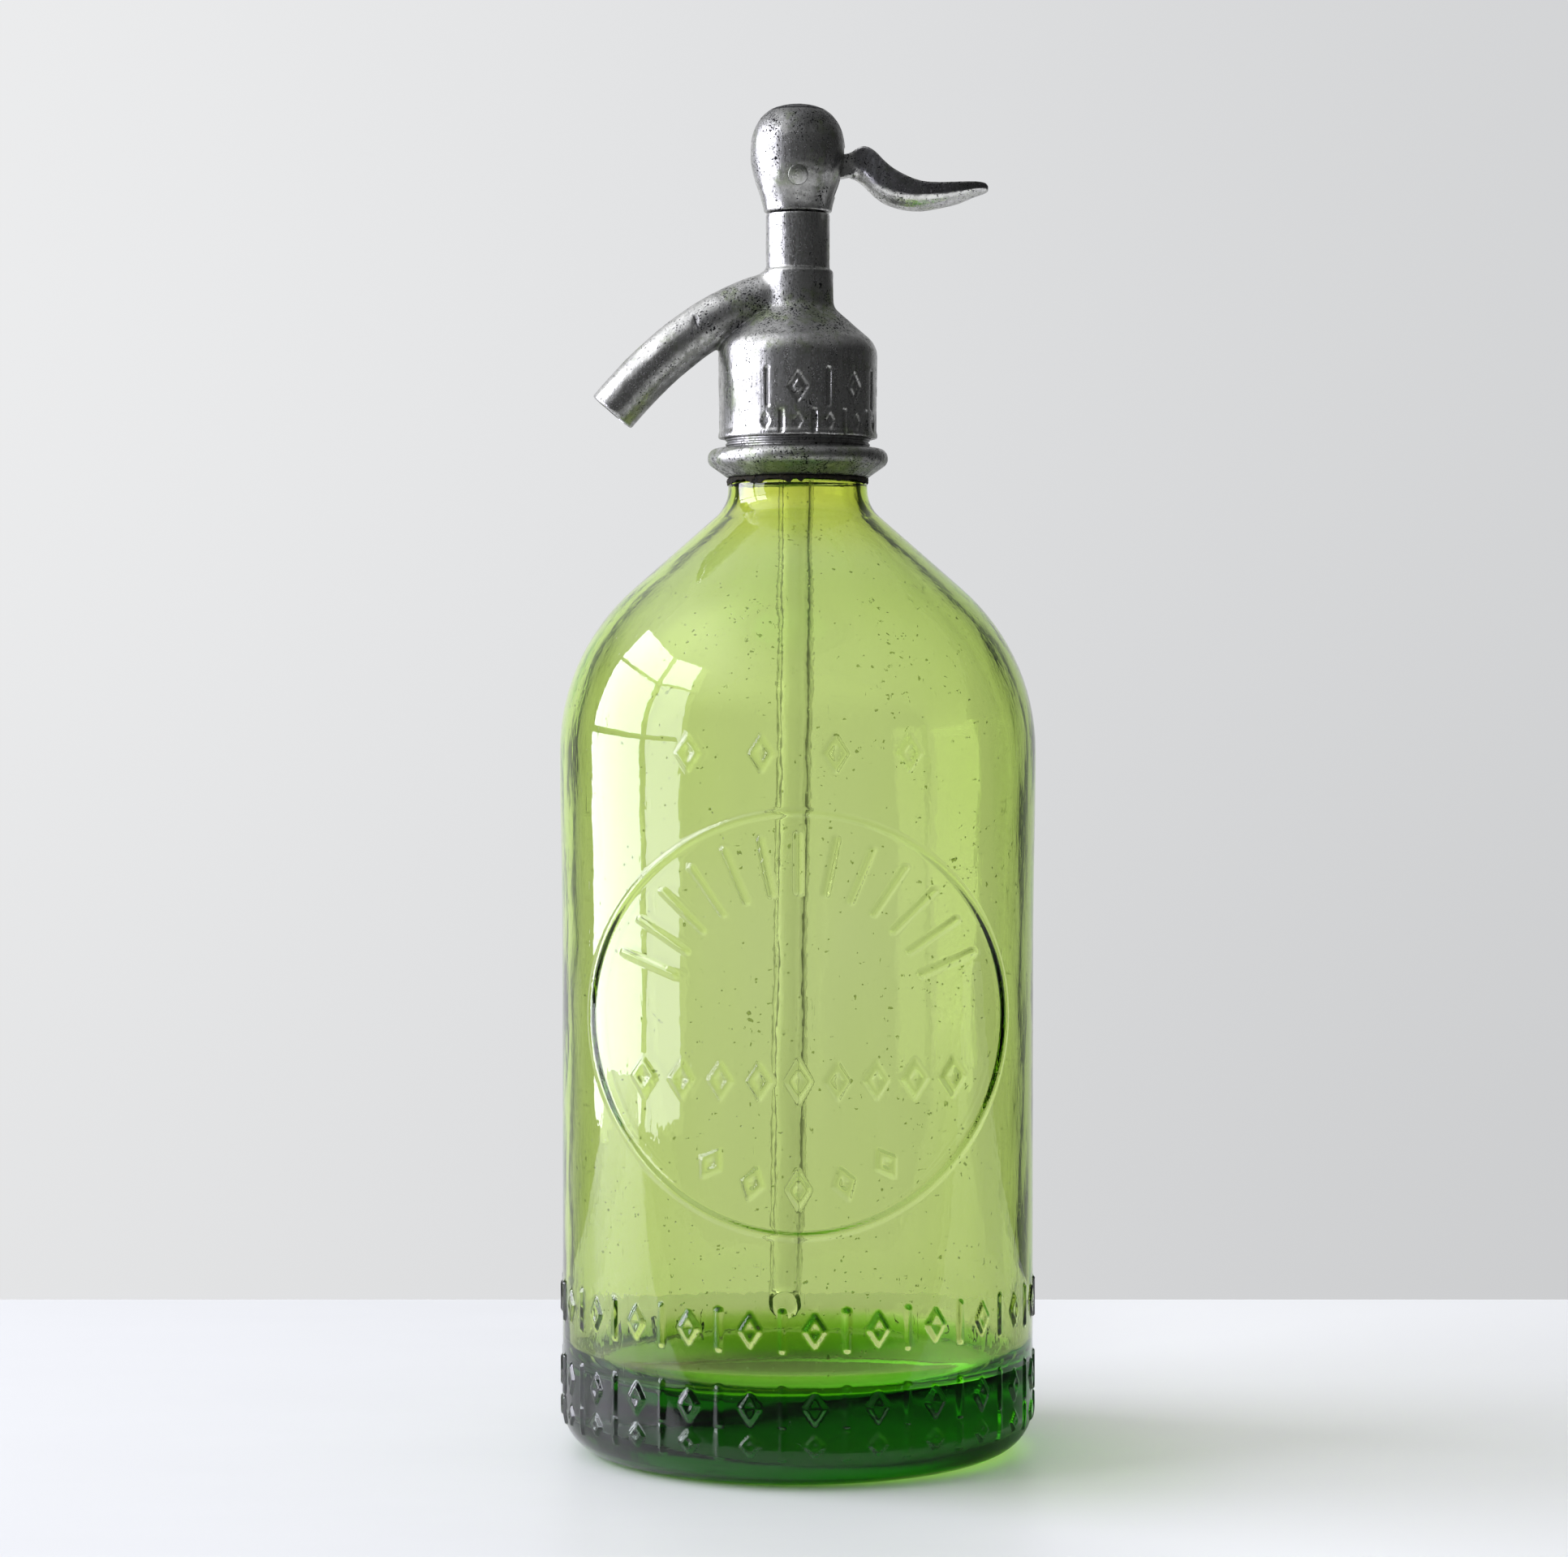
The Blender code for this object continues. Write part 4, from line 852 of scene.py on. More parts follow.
def bottleProfile(b):
    beadBottom = b["height"] - b["beadHeight"]
    grooveBottom = beadBottom - b["grooveHeight"]
    fine = 0.7 * mm
    fillet = (b["neck"] + b["neckFillet"], grooveBottom - b["neckStraight"])
    shoulder = arcBelow(fillet, b["neckFillet"], b["radius"] + b["swell"], b["shoulder"], b["slope"])
    turn = 90 - math.degrees(b["slope"])
    corner = (b["radius"] - b["wall"] - b["floorCorner"], b["floor"] + b["floorCorner"])
    inside = bottleInside(b, corner, shoulder, fillet, turn, grooveBottom, fine)
    bead = b["bead"] - b["beadRound"]
    outside = arc((bead, b["height"] - b["beadRound"]), b["beadRound"], 90, 0, fine)
    outside += arc((bead, beadBottom + b["beadRound"]), b["beadRound"], 0, -90, fine)
    outside += [(b["groove"], beadBottom), (b["groove"], grooveBottom)]
    edge = b["neckEdge"]
    outside += arc((b["neck"] - edge, grooveBottom - edge), edge, 90, 0, fine / 2)
    outside += arc(fillet, b["neckFillet"], 180, 180 + turn, fine)
    outside += arc(shoulder, b["shoulder"], turn, 0, b["rowStep"])
    for i in range(1, 13):
        share = i / 12
        radius = b["radius"] + b["swell"] * (1 - share * share * (3 - 2 * share))
        outside.append((radius, shoulder[1] - b["swellLength"] * share))
    outside += arc((b["radius"] - b["corner"], b["corner"]), b["corner"], 0, -90, fine)
    dome = b["radius"] - b["corner"] - b["contact"]
    for i in range(13):
        share = 1 - i / 12
        outside.append((dome * share, b["pushUp"] * (1 - share * share)))
    return stepped(inside + outside, b["rowStep"]), len(stepped(inside, b["rowStep"]))


def skinRadius(profile, start):  # the outer skin's radius at each height, from the neck down to the foot
    grooveBottom = bottle["height"] - bottle["beadHeight"] - bottle["grooveHeight"]
    outer = [p for p in profile[start:] if p[1] < grooveBottom]
    body = []
    for point in outer:
        if body and point[0] < body[-1][0] and point[1] < bottle["corner"] * 0.2:
            break
        body.append(point)
    body = body[::-1]
    return np.array([p[1] for p in body]), np.array([p[0] for p in body])


def inLozenge(across, along, wide, tall, room):
    return (across / wide + along / tall - 1) * wide * tall / math.hypot(wide, tall) < room


def nearMarks(x, y, z, room):  # True where the skin lies on a mark, or no further from one than room
    front = y < 0
    up = z - marks["ringMiddle"]
    apart = np.hypot(x, up)
    bar = marks["stroke"] / 2 + marks["wideSlope"] + room
    found = front & (np.abs(apart - marks["ring"]) < bar)
    far, half, step, last = marks["fan"]
    cell = np.round(np.arctan2(x, up) / step)
    across = np.abs(np.arctan2(x, up) - cell * step) * apart
    found |= front & (np.abs(cell) <= last) & (across < bar) & (np.abs(apart - far) < half + bar)
    far, half, step, last = marks["lowerFan"]
    cell = np.round(np.arctan2(x, -up) / step)
    across = np.abs(np.arctan2(x, -up) - cell * step) * apart
    inside = inLozenge(across, np.abs(apart - far), marks["lowerFanWidth"], half, room)
    found |= front & (np.abs(cell) <= last) & inside
    half, wide = marks["lineHalf"]
    for middle, pitch, last, shift in marks["lines"]:
        cell = np.round(x / pitch - shift) + shift
        inside = inLozenge(np.abs(x - cell * pitch), np.abs(z - middle), wide, half, room)
        found |= front & (np.abs(cell) <= last + 0.25) & inside
    for middle, half, last in marks["rows"]:
        share = np.arctan2(x, -y) / (2 * math.pi) * marks["count"] - 0.5
        cell = np.round(share)
        across = np.abs(share - cell) * (2 * math.pi) / marks["count"] * bottle["radius"]
        along = np.abs(z - middle)
        onBar = across < marks["stroke"] / 2 + marks["slope"] + room
        onBar &= along < half + marks["stroke"] + room
        onMark = np.where(cell % 2 == 1, onBar, inLozenge(across, along, marks["halfWidth"], half, room))
        found |= (cell >= -last - 1) & (cell <= last) & onMark
    return found


def refine(made, wanted, cuts):  # cuts the edges of the wanted faces
    made.faces.ensure_lookup_table()
    centres = np.array([f.calc_center_median() for f in made.faces])
    edges = {e for i in np.nonzero(wanted(*centres.T))[0] for e in made.faces[i].edges}
    bmesh.ops.subdivide_edges(made, edges=list(edges), cuts=cuts, use_grid_fill=True)


def bottleMarks():
    common = {"Outside radius": bottle["radius"] - 1.2 * mm, "Stroke": marks["stroke"]}
    faint = {**common, "Raise": marks["faint"], "Slope": marks["wideSlope"], "Middle": marks["ringMiddle"]}
    strong = {**common, "Raise": marks["raise"], "Slope": marks["slope"], "Lozenge": 1.0, "Alternate": 1.0}
    runs = [("ring", {**faint, "Ring": marks["ring"]})]
    lower = {"Half width": marks["lowerFanWidth"], "Lozenge": 1.0, "Downwards": 1.0}
    for (far, half, step, last), others in ((marks["fan"], {}), (marks["lowerFan"], lower)):
        values = {"Ring": far, "Half length": half, "Step": step, "Half count": last}
        runs.append(("fan", {**faint, **values, **others}))
    half, wide = marks["lineHalf"]
    for middle, pitch, last, shift in marks["lines"]:
        values = {"Middle": middle, "Pitch": pitch, "Half count": last, "Shift": shift}
        runs.append(("line", {**faint, **values, "Lozenge": 1.0, "Half length": half, "Half width": wide}))
    for middle, half, last in marks["rows"]:
        values = {"Middle": middle, "Half length": half, "Half width": marks["halfWidth"], "Sunk": 0.4}
        ends = {"Count": float(marks["count"]), "Phase": 0.5, "First": -last - 1.0, "Last": float(last)}
        runs.append(("row", {**strong, **values, **ends}))
    return [(markTrees[kind], values) for kind, values in runs]


def makeBottle():
    profile, start = bottleProfile(bottle)
    heights, radii = skinRadius(profile, start)

    def onSkin(x, y, z):
        return np.interp(z, heights, radii) - np.hypot(x, y) < bottle["wall"] * 0.3

    def cut(made):
        for room, cuts in bottle["finer"]:
            refine(made, lambda x, y, z: nearMarks(x, y, z, room) & onSkin(x, y, z), cuts)

    mesh = edit(turnedMesh("bottle_glass", profile, bottle["columns"]), cut)
    points = coordinates(mesh)
    radius = np.hypot(points[:, 0], points[:, 1])
    high = points[:, 2]
    wanted = np.interp(high, heights, radii)
    below = high < heights[-1]
    skin = (np.abs(radius - wanted) < 0.2 * mm) & (high > bottle["corner"] * 0.5) & below
    points[:, :2] *= np.where(skin, wanted / np.maximum(radius, 1e-9), 1.0)[:, None]
    inside = (radius < wanted - bottle["neckWall"] * 0.6) & (high > bottle["floor"] + 2 * mm) & below
    for i in np.nonzero(inside)[0]:
        x, y, z = points[i]
        slow = noise.noise(Vector((x * 55, y * 55, z * 22)))
        quick = noise.noise(Vector((x * 190 + 7, y * 190, z * 60)))
        small = noise.noise(Vector((x * 420, y * 420 + 3, z * 260)))
        seam = 1 + 0.5 * (abs(x) / radius[i]) ** 6  # rougher at the sides, by the mould's seams
        wave = slow * 0.7 + (quick * 0.3 + small * 0.08) * seam
        points[i, :2] *= 1 - wave * bottle["innerWaves"] / max(radius[i], 5 * mm)
    setCoordinates(mesh, points)
    mesh = runTrees(mesh, finish["green"], bottleMarks())
    mesh.shade_smooth()
    place(mesh, "bottle_glass", finish["green"], "root", "green_glass", ["bottle"])


makeBottle()


# Dip tube
tube = {
    "radius": 4.15 * mm,
    "wall": 1.2 * mm,
    "lean": 2.8 * mm,
    "slantRise": 9.0 * mm,  # its end is cut aslant, open to the front
    "slantReach": 16 * mm,
    "longer": 2.4 * mm,
    "step": 1.2 * mm,
    "waves": 0.30 * mm,
}


def makeDipTube():
    low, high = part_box("dip_tube")
    radius, wall = tube["radius"], tube["wall"]
    foot = low.z - tube["longer"]
    end = (radius - wall / 2, foot + wall / 2)
    down = stepped([(radius, high.z), (radius, end[1])], tube["step"])
    up = stepped([(radius - wall, end[1]), (radius - wall, high.z)], tube["step"])
    profile = up + down + arc(end, wall / 2, 0, -180, 0.25 * mm)[1:-1]
    mesh = turnedMesh("dip_tube_glass", profile, 48, closed=True)
    points = coordinates(mesh)
    for i, (x, y, z) in enumerate(points):
        wave = noise.noise(Vector((x * 60, y * 60, z * 70))) * tube["waves"]
        aside = tube["lean"] * (high.z - z) / (high.z - low.z)
        scale = 1 + wave / radius * (1.0 if math.hypot(x, y) > radius - wall / 2 else 0.7)
        slant = 0.5 * (1 - y / radius) * max(0.0, 1 - (z - foot) / tube["slantReach"])
        points[i] = (x * scale - aside, y * scale, z + tube["slantRise"] * slant)
    setCoordinates(mesh, points)
    place(mesh, "dip_tube_glass", finish["clear"], "root", "clear_glass", ["dip_tube"])


makeDipTube()


# Castings: fused shells, soft corners, dents and worn places
casting = {
    "voxel": 0.312 * mm,
    "columns": 224,
    "waves": 0.055 * mm,  # height of the slow waves of the skin
    "grain": 0.022 * mm,
}


def fused(name, shells, voxel, rounds=2):  # closed shells grown into one even skin
    made = linked(name, edit(newMesh(name), lambda whole: [whole.from_mesh(shell) for shell in shells]))
    modifier = made.modifiers.new("skin", "REMESH")
    modifier.mode = "VOXEL"
    modifier.voxel_size = voxel
    modifier = made.modifiers.new("smooth", "SMOOTH")
    modifier.factor = 0.5
    modifier.iterations = rounds
    return evaluatedMesh(made)


def soften(mesh, weights, rounds):  # evens out the skin where the weights are above zero
    points = coordinates(mesh)
    edges = np.zeros(len(mesh.edges) * 2, np.int64)
    mesh.edges.foreach_get("vertices", edges)
    edges = edges.reshape(-1, 2)
    own, other = np.concatenate([edges, edges[:, ::-1]]).T
    counts = np.bincount(own, minlength=len(points)).astype(float)
    share = (weights * 0.6)[:, None]
    for i in range(rounds):
        middle = [np.bincount(own, points[other, axis], len(points)) / counts for axis in range(3)]
        points += (np.stack(middle, 1) - points) * share
    setCoordinates(mesh, points)


def distanceToLine(points, line):
    found = np.full(len(points), 9.0)
    for a, b in zip(line, line[1:]):
        a, b = np.array(a), np.array(b)
        along = np.clip(((points - a) @ (b - a)) / ((b - a) @ (b - a)), 0, 1)
        found = np.minimum(found, np.linalg.norm(points - a - along[:, None] * (b - a), axis=1))
    return found


def wear(mesh, waves, grain, scale=1.0, dents=()):  # moves the skin along its own normals
    points = coordinates(mesh)
    normals = np.zeros(len(mesh.vertices) * 3, np.float32)
    mesh.vertices.foreach_get("normal", normals)
    normals = normals.reshape(-1, 3).astype(np.float64)
    push = np.zeros(len(points))
    for i, point in enumerate(points):
        spot = Vector(point)
        push[i] = noise.noise(spot * 260 * scale) * waves + noise.noise(spot * 900 * scale) * grain
    for centre, radius, depth in dents:
        far = np.linalg.norm((points - np.array(centre)) / np.array(radius), axis=1)
        push -= depth * np.clip(1 - far, 0, 1) ** 2 * (1 + 2 * np.clip(far, 0, 1))
    setCoordinates(mesh, points + normals * push[:, None])


# Head: bell, column and spout in one casting
head = {
    "foot": 235.1 * mm,
    "bell": 18.5 * mm,
    "bellRound": 6.0 * mm,
    "bellSlope": math.radians(41),
    "columnFoot": 267.2 * mm,
    "fillet": 3.4 * mm,
    "lowerColumn": 8.25 * mm,
    "step": 274.2 * mm,
    "column": 7.42 * mm,
    "top": 287.3 * mm,
    "spigot": 6.2 * mm,
    "spigotTop": 290.6 * mm,
    "edge": 0.25 * mm,
    "footEdge": 0.2 * mm,
    "stepEdge": (0.3 * mm, 0.4 * mm),  # how far in and down
    "lip": (1.0 * mm, 1.6 * mm),  # a turned edge round the bell's foot, and how high it thins out
    "spout": 5.82 * mm,
    "spoutTip": (-43.3 * mm, 241.2 * mm),
    "spoutLength": 52.5 * mm,
    "spoutAngle": math.radians(50.0),
    # it bends more towards the bell
    "spoutTurn": (math.radians(0.34) / mm, math.radians(0.0085) / mm / mm),
    "spoutBore": 4.3 * mm,
    "spoutBoreRoot": 3.4 * mm,
    "junctionFillet": 2.6 * mm,
    # height, half length, half width, count in the round and the first one
    "marks": ((246.1 * mm, 4.0 * mm, 2.7 * mm, 16, -1), (238.3 * mm, 2.3 * mm, 1.4 * mm, 30, -2)),
    "cutDepth": 0.34 * mm,
    "cutWidth": 0.78 * mm,
    "bore": (  # of the column and the bell, from the top down
        (5.2, 274.2),
        (4.2, 274.2),
        (4.2, 258.7),
        (3.0, 257.5),
        (3.0, 254.0),
        (4.1, 254.0),
        (4.1, 254.6),
        (8.3, 254.6),
        (8.3, 246.5),
        (15.9, 246.5),
        (15.9, 241.4),
        (17.1, 241.4),
    ),
    # centre, reach and depth
    "dents": (
        ((-23.6 * mm, -4.8 * mm, 261.7 * mm), (1.1 * mm, 3.0 * mm, 2.2 * mm), 0.32 * mm),
        ((-35.0 * mm, -4.5 * mm, 255.5 * mm), (3.2 * mm, 3.0 * mm, 3.0 * mm), 0.18 * mm),
        ((6.0 * mm, -16.0 * mm, 256.0 * mm), (4.5 * mm, 5.0 * mm, 4.0 * mm), 0.16 * mm),
        ((-12.0 * mm, -13.0 * mm, 250.0 * mm), (4.0 * mm, 5.0 * mm, 5.0 * mm), 0.14 * mm),
    ),
}


def spoutLine(count, overrun=0.0):
    h = head
    step = h["spoutLength"] / (count - 1)
    first, second = h["spoutTurn"]
    spot = Vector((h["spoutTip"][0], 0, h["spoutTip"][1]))
    line = [spot.copy()]
    for i in range(count - 1):
        far = (i + 0.5) * step
        angle = h["spoutAngle"] - first * far - second * far * far
        spot += step * Vector((math.cos(angle), 0, math.sin(angle)))
        line.insert(0, spot.copy())
    if overrun:
        line.append(line[-1] - overrun * Vector((math.cos(h["spoutAngle"]), 0, math.sin(h["spoutAngle"]))))
    return line


def headOutside(h):
    fillet = (h["lowerColumn"] + h["fillet"], h["columnFoot"])
    shoulder = arcBelow(fillet, h["fillet"], h["bell"], h["bellRound"], h["bellSlope"])
    turn = 90 - math.degrees(h["bellSlope"])
    edge, foot = h["edge"], h["footEdge"]
    profile = [(0, h["spigotTop"]), (h["spigot"], h["spigotTop"]), (h["spigot"], h["top"])]
    profile += [(h["column"] - edge, h["top"]), (h["column"], h["top"] - edge)]
    profile += [(h["column"], h["step"]), (h["lowerColumn"] - h["stepEdge"][0], h["step"])]
    profile += [(h["lowerColumn"], h["step"] - h["stepEdge"][1])]
    profile += arc(fillet, h["fillet"], 180, 180 + turn, 0.5 * mm)
    profile += arc(shoulder, h["bellRound"], turn, 0, 0.5 * mm)
    profile += [(h["bell"] - edge, h["foot"] + h["lip"][1]), (h["bell"], h["foot"] + h["lip"][0])]
    return profile + [(h["bell"], h["foot"] + foot), (h["bell"] - foot, h["foot"]), (0, h["foot"])]


def headInside(h):
    top = h["spigotTop"] + 2 * mm
    foot = h["foot"] - 2 * mm
    bore = [(radius * mm, height * mm) for radius, height in h["bore"]]
    return [(0, top), (bore[0][0], top)] + bore + [(bore[-1][0], foot), (0, foot)]


def makeHead():
    h = head
    outside = turnedMesh("bell", stepped(headOutside(h), 1.0 * mm), casting["columns"])
    line = spoutLine(48)
    radii = [h["spout"]] * (len(line) - 1) + [h["spout"] - 0.35 * mm]
    line.insert(-1, line[-1] + (line[-2] - line[-1]).normalized() * 0.35 * mm)
    radii.insert(-1, h["spout"])
    spout = tubeMesh("spout", line, radii, 64)
    mesh = fused("head", [outside, spout], casting["voxel"])
    points = coordinates(mesh)
    apart = distanceToLine(points, line) - h["spout"]
    reach = np.hypot(points[:, 0], points[:, 1])
    profile = np.array(stepped(headOutside(h), 0.5 * mm))
    tree = KDTree(len(profile))
    for i, (radius, height) in enumerate(profile):
        tree.insert((radius, height, 0), i)
    tree.balance()
    near = (np.abs(apart) < 0.8 * mm) & (points[:, 0] < 0) & (points[:, 2] < h["step"] - 0.6 * mm)
    seam = [i for i in np.nonzero(near)[0] if tree.find((reach[i], points[i, 2], 0))[2] < 0.55 * mm]
    junction = KDTree(len(seam))
    for n, i in enumerate(seam):
        junction.insert(points[i], n)
    junction.balance()
    weights = np.zeros(len(points))
    close = np.nonzero((apart < 4 * mm) & (points[:, 0] < 2 * mm))[0]
    for i in close:
        far = junction.find(points[i])[2]
        weights[i] = max(0.0, 1 - far / h["junctionFillet"])
    soften(mesh, weights, 26)
    wear(mesh, casting["waves"], casting["grain"], dents=h["dents"])
    common = {"Outside radius": h["bell"] - 0.8 * mm, "Stroke": h["cutWidth"], "Slope": 0.36 * mm}
    common.update({"Raise": -h["cutDepth"], "Lozenge": 1.0, "Alternate": 1.0})
    runs = []
    for middle, half, wide, count, first in h["marks"]:
        values = {**common, "Middle": middle, "Half length": half, "Half width": wide}
        runs.append((markTrees["row"], {**values, "Count": float(count), "First": float(first)}))
    mesh = runTrees(mesh, finish["tin"], runs)
    inside = turnedMesh("head_inside", headInside(h), 96)
    line = spoutLine(24, 2 * mm)
    root, wider = h["spoutBoreRoot"], h["spoutBore"] - h["spoutBoreRoot"]
    radii = [root + wider * min(1, 2 * i / (len(line) - 1)) for i in range(len(line))]
    mesh = combined(mesh, [inside, tubeMesh("spout_bore", line, radii, 40)])
    place(mesh, "head_casting", finish["tin"], "root", "aged_tin", ["head_body"])


makeHead()


# Ball cap
ball = {
    "foot": 287.6 * mm,
    "radius": 11.0 * mm,
    "middle": 13.4 * mm,
    "crown": 11.7 * mm,
    "fullness": 2.4,
    "skirt": 7.9 * mm,
    "skirtCurve": 1.5,
    "pivot": 295.2 * mm,
    "pin": 1.5 * mm,
    "pinHole": 1.8 * mm,
    "pinHead": 2.3 * mm,
    "pinSeat": 8.5 * mm,
    "pinEnd": 9.7 * mm,
    "slot": 2.3 * mm,  # half of its width
    "slotTop": 7.4 * mm,
    "turn": math.radians(22),
    "inside": 7.6 * mm,
    "insideTop": 12.5 * mm,
    "insideCrown": 4.5 * mm,
    "skirtBore": 6.5 * mm,
    "wear": (0.05 * mm, 0.03 * mm),
    # centre over the foot, reach and depth
    "dents": (
        ((0, 0, 24.6 * mm), (8.5 * mm, 8.5 * mm, 1.3 * mm), 0.12 * mm),
        ((-5 * mm, -9 * mm, 12 * mm), (4 * mm, 4 * mm, 5 * mm), 0.14 * mm),
        ((7 * mm, -8 * mm, 6 * mm), (3 * mm, 4 * mm, 3 * mm), 0.12 * mm),
    ),
}


def ballOutside(b):
    middle = b["foot"] + b["middle"]
    profile = []
    for i in range(49):
        angle = math.radians(90 - 90 * i / 48)
        out = abs(math.cos(angle)) ** (2 / b["fullness"]) if i else 0
        up = math.sin(angle) ** (2 / b["fullness"]) if i < 48 else 0
        profile.append((b["radius"] * out, middle + b["crown"] * up))
    for i in range(47, 0, -1):
        share = i / 48
        out = math.sin(math.pi / 2 * share) ** b["skirtCurve"]
        profile.append((b["skirt"] + (b["radius"] - b["skirt"]) * out, b["foot"] + b["middle"] * share))
    edge = 0.3 * mm
    return profile + [(b["skirt"], b["foot"] + edge), (b["skirt"] - edge, b["foot"]), (0, b["foot"])]


def ballInside(b):
    top = b["foot"] + b["insideTop"]
    profile = [(0, top + b["insideCrown"])]
    for share in (0.3, 0.6, 0.8, 0.93, 1):
        profile.append((b["inside"] * share, top + b["insideCrown"] * math.sqrt(1 - share * share)))
    profile += [(b["inside"], b["foot"] + 4.8 * mm), (b["skirtBore"], b["foot"] + 3.4 * mm)]
    return profile + [(b["skirtBore"], b["foot"] - 2 * mm), (0, b["foot"] - 2 * mm)]


def pinOutline(radius, headRadius, seat, end, dome):  # with a slightly uneven peened head
    upper = []
    for i in range(11, 0, -1):
        share = 1 - i / 12
        upper.append((headRadius * share, end + dome * (1 - share * share) - dome * 0.12 * (i % 3 == 1)))
    upper += [(headRadius - dome * 0.4, end), (headRadius, end - dome * 0.5)]
    upper += [(headRadius, seat), (radius, seat)]
    lower = [(r, -z) for r, z in reversed(upper)]
    return [(0, end + dome)] + upper + lower + [(0, -end - dome)]


def crossPin(name, profile, columns):  # turned, then laid across on the pivot
    mesh = turnedMesh(name, profile, columns)
    lie = Matrix.Translation((0, 0, ball["pivot"])) @ Matrix.Rotation(math.radians(90), 4, "X")
    mesh.transform(lie)
    return mesh


def makeBall():
    b = ball
    mesh = turnedMesh("ball", stepped(ballOutside(b), 0.35 * mm), 192)
    dents = [((x, y, b["foot"] + z), reach, depth) for (x, y, z), reach, depth in b["dents"]]
    wear(mesh, *b["wear"], dents=dents)
    low = (0, -b["slot"], b["pivot"] - b["radius"] * math.sin(b["turn"]))
    slot = boxMesh("slot", low, (b["radius"] + 2 * mm, b["slot"], b["pivot"] + b["slotTop"]))
    around = pinOutline(b["pinHole"], b["pinHead"] + 0.05 * mm, b["pinSeat"] - 0.3 * mm, 13 * mm, 0)
    room = crossPin("pin_room", around, 64)
    mesh = combined(mesh, [turnedMesh("ball_inside", ballInside(b), 64), slot, room])
    place(mesh, "ball_casting", finish["roughTin"], "root", "aged_tin", ["ball_cap"])
    pin = crossPin("pin", pinOutline(b["pin"], b["pinHead"], b["pinSeat"], b["pinEnd"], 0.2 * mm), 64)
    rising = [(h, r) for r, h in reversed(ballOutside(b)) if h < b["foot"] + b["middle"] and r > b["skirt"]]
    points = coordinates(pin)
    for i, (x, y, z) in enumerate(points):
        if abs(y) > b["pinSeat"] + 0.6 * mm:
            skin = math.sqrt(np.interp(z, *zip(*rising)) ** 2 - x * x)
            points[i, 1] = math.copysign(skin + abs(y) - b["pinEnd"], y)
    setCoordinates(pin, points)
    place(pin, "peened_pin", finish["roughTin"], "root", "steel", ["pivot_pin"])


makeBall()


# Collar
collar = {
    "bore": 14.3 * mm,
    "radius": 16.8 * mm,
    "foot": 226.2 * mm,
    "top": 239.7 * mm,
    "flangeTop": 232.8 * mm,
    "flangeWidth": 4.2 * mm,
    "flangeRound": 2.3 * mm,
    "thread": 1.1 * mm,  # its pitch
    "wear": (0.07 * mm, 0.035 * mm),
    "split": math.radians(-25.3),
    "lean": math.radians(8),
}


def collarOutline(c):
    middle = (c["radius"] + c["flangeWidth"] - c["flangeRound"], c["flangeTop"] - c["flangeRound"])
    profile = [(c["bore"], c["top"])]
    height = c["top"] - 0.1 * mm
    while height > c["flangeTop"] + 0.9 * mm:  # worn ridges of the thread
        for share, sunk in ((0, 0.35), (0.25, 0), (0.5, 0), (0.75, 0.35)):
            profile.append((c["radius"] - sunk * mm, height - share * c["thread"]))
        height -= c["thread"]
    profile.append((c["radius"] - 0.3 * mm, c["flangeTop"] + 0.25 * mm))
    profile.append((c["radius"] + 0.1 * mm, c["flangeTop"]))
    profile += arc(middle, c["flangeRound"], 90, -45, 0.3 * mm)
    return profile + [(c["radius"] - 0.3 * mm, c["foot"]), (c["bore"], c["foot"])]


def makeCollar():
    c = collar
    reach = c["radius"] + c["flangeWidth"] + 3 * mm
    middle = Matrix.Translation((0, 0, (c["top"] + c["foot"]) / 2))
    turn = middle @ Matrix.Rotation(c["split"], 4, "Z") @ Matrix.Rotation(c["lean"], 4, "X")
    for name, side in (("collar_back", 1), ("collar_front", -1)):
        mesh = turnedMesh(name, stepped(collarOutline(c), 0.8 * mm), 256, closed=True)
        wear(mesh, *c["wear"], 1.2)
        low = (-reach, min(-side * reach, side * 0.12 * mm), -reach)
        high = (reach, max(-side * reach, side * 0.12 * mm), reach)
        mesh = combined(mesh, [boxMesh("cut", low, high, turn)])
        place(mesh, name + "_casting", finish["tin"], "root", "aged_tin", [name])


makeCollar()


# Packing that has squeezed out under the collar and crumbles
packing = {
    "outline": (
        (14.6, 226.1),
        (15.9, 226.1),
        (16.3, 225.8),
        (16.42, 225.3),
        (16.4, 224.8),
        (16.3, 224.6),
        (16.24, 224.9),
        (15.9, 225.2),
        (14.6, 225.5),
    ),
    "ragged": 1.7 * mm,
    "density": 0.9e6,
    "smallest": 0.12 * mm,
    "largest": 0.42 * mm,
}


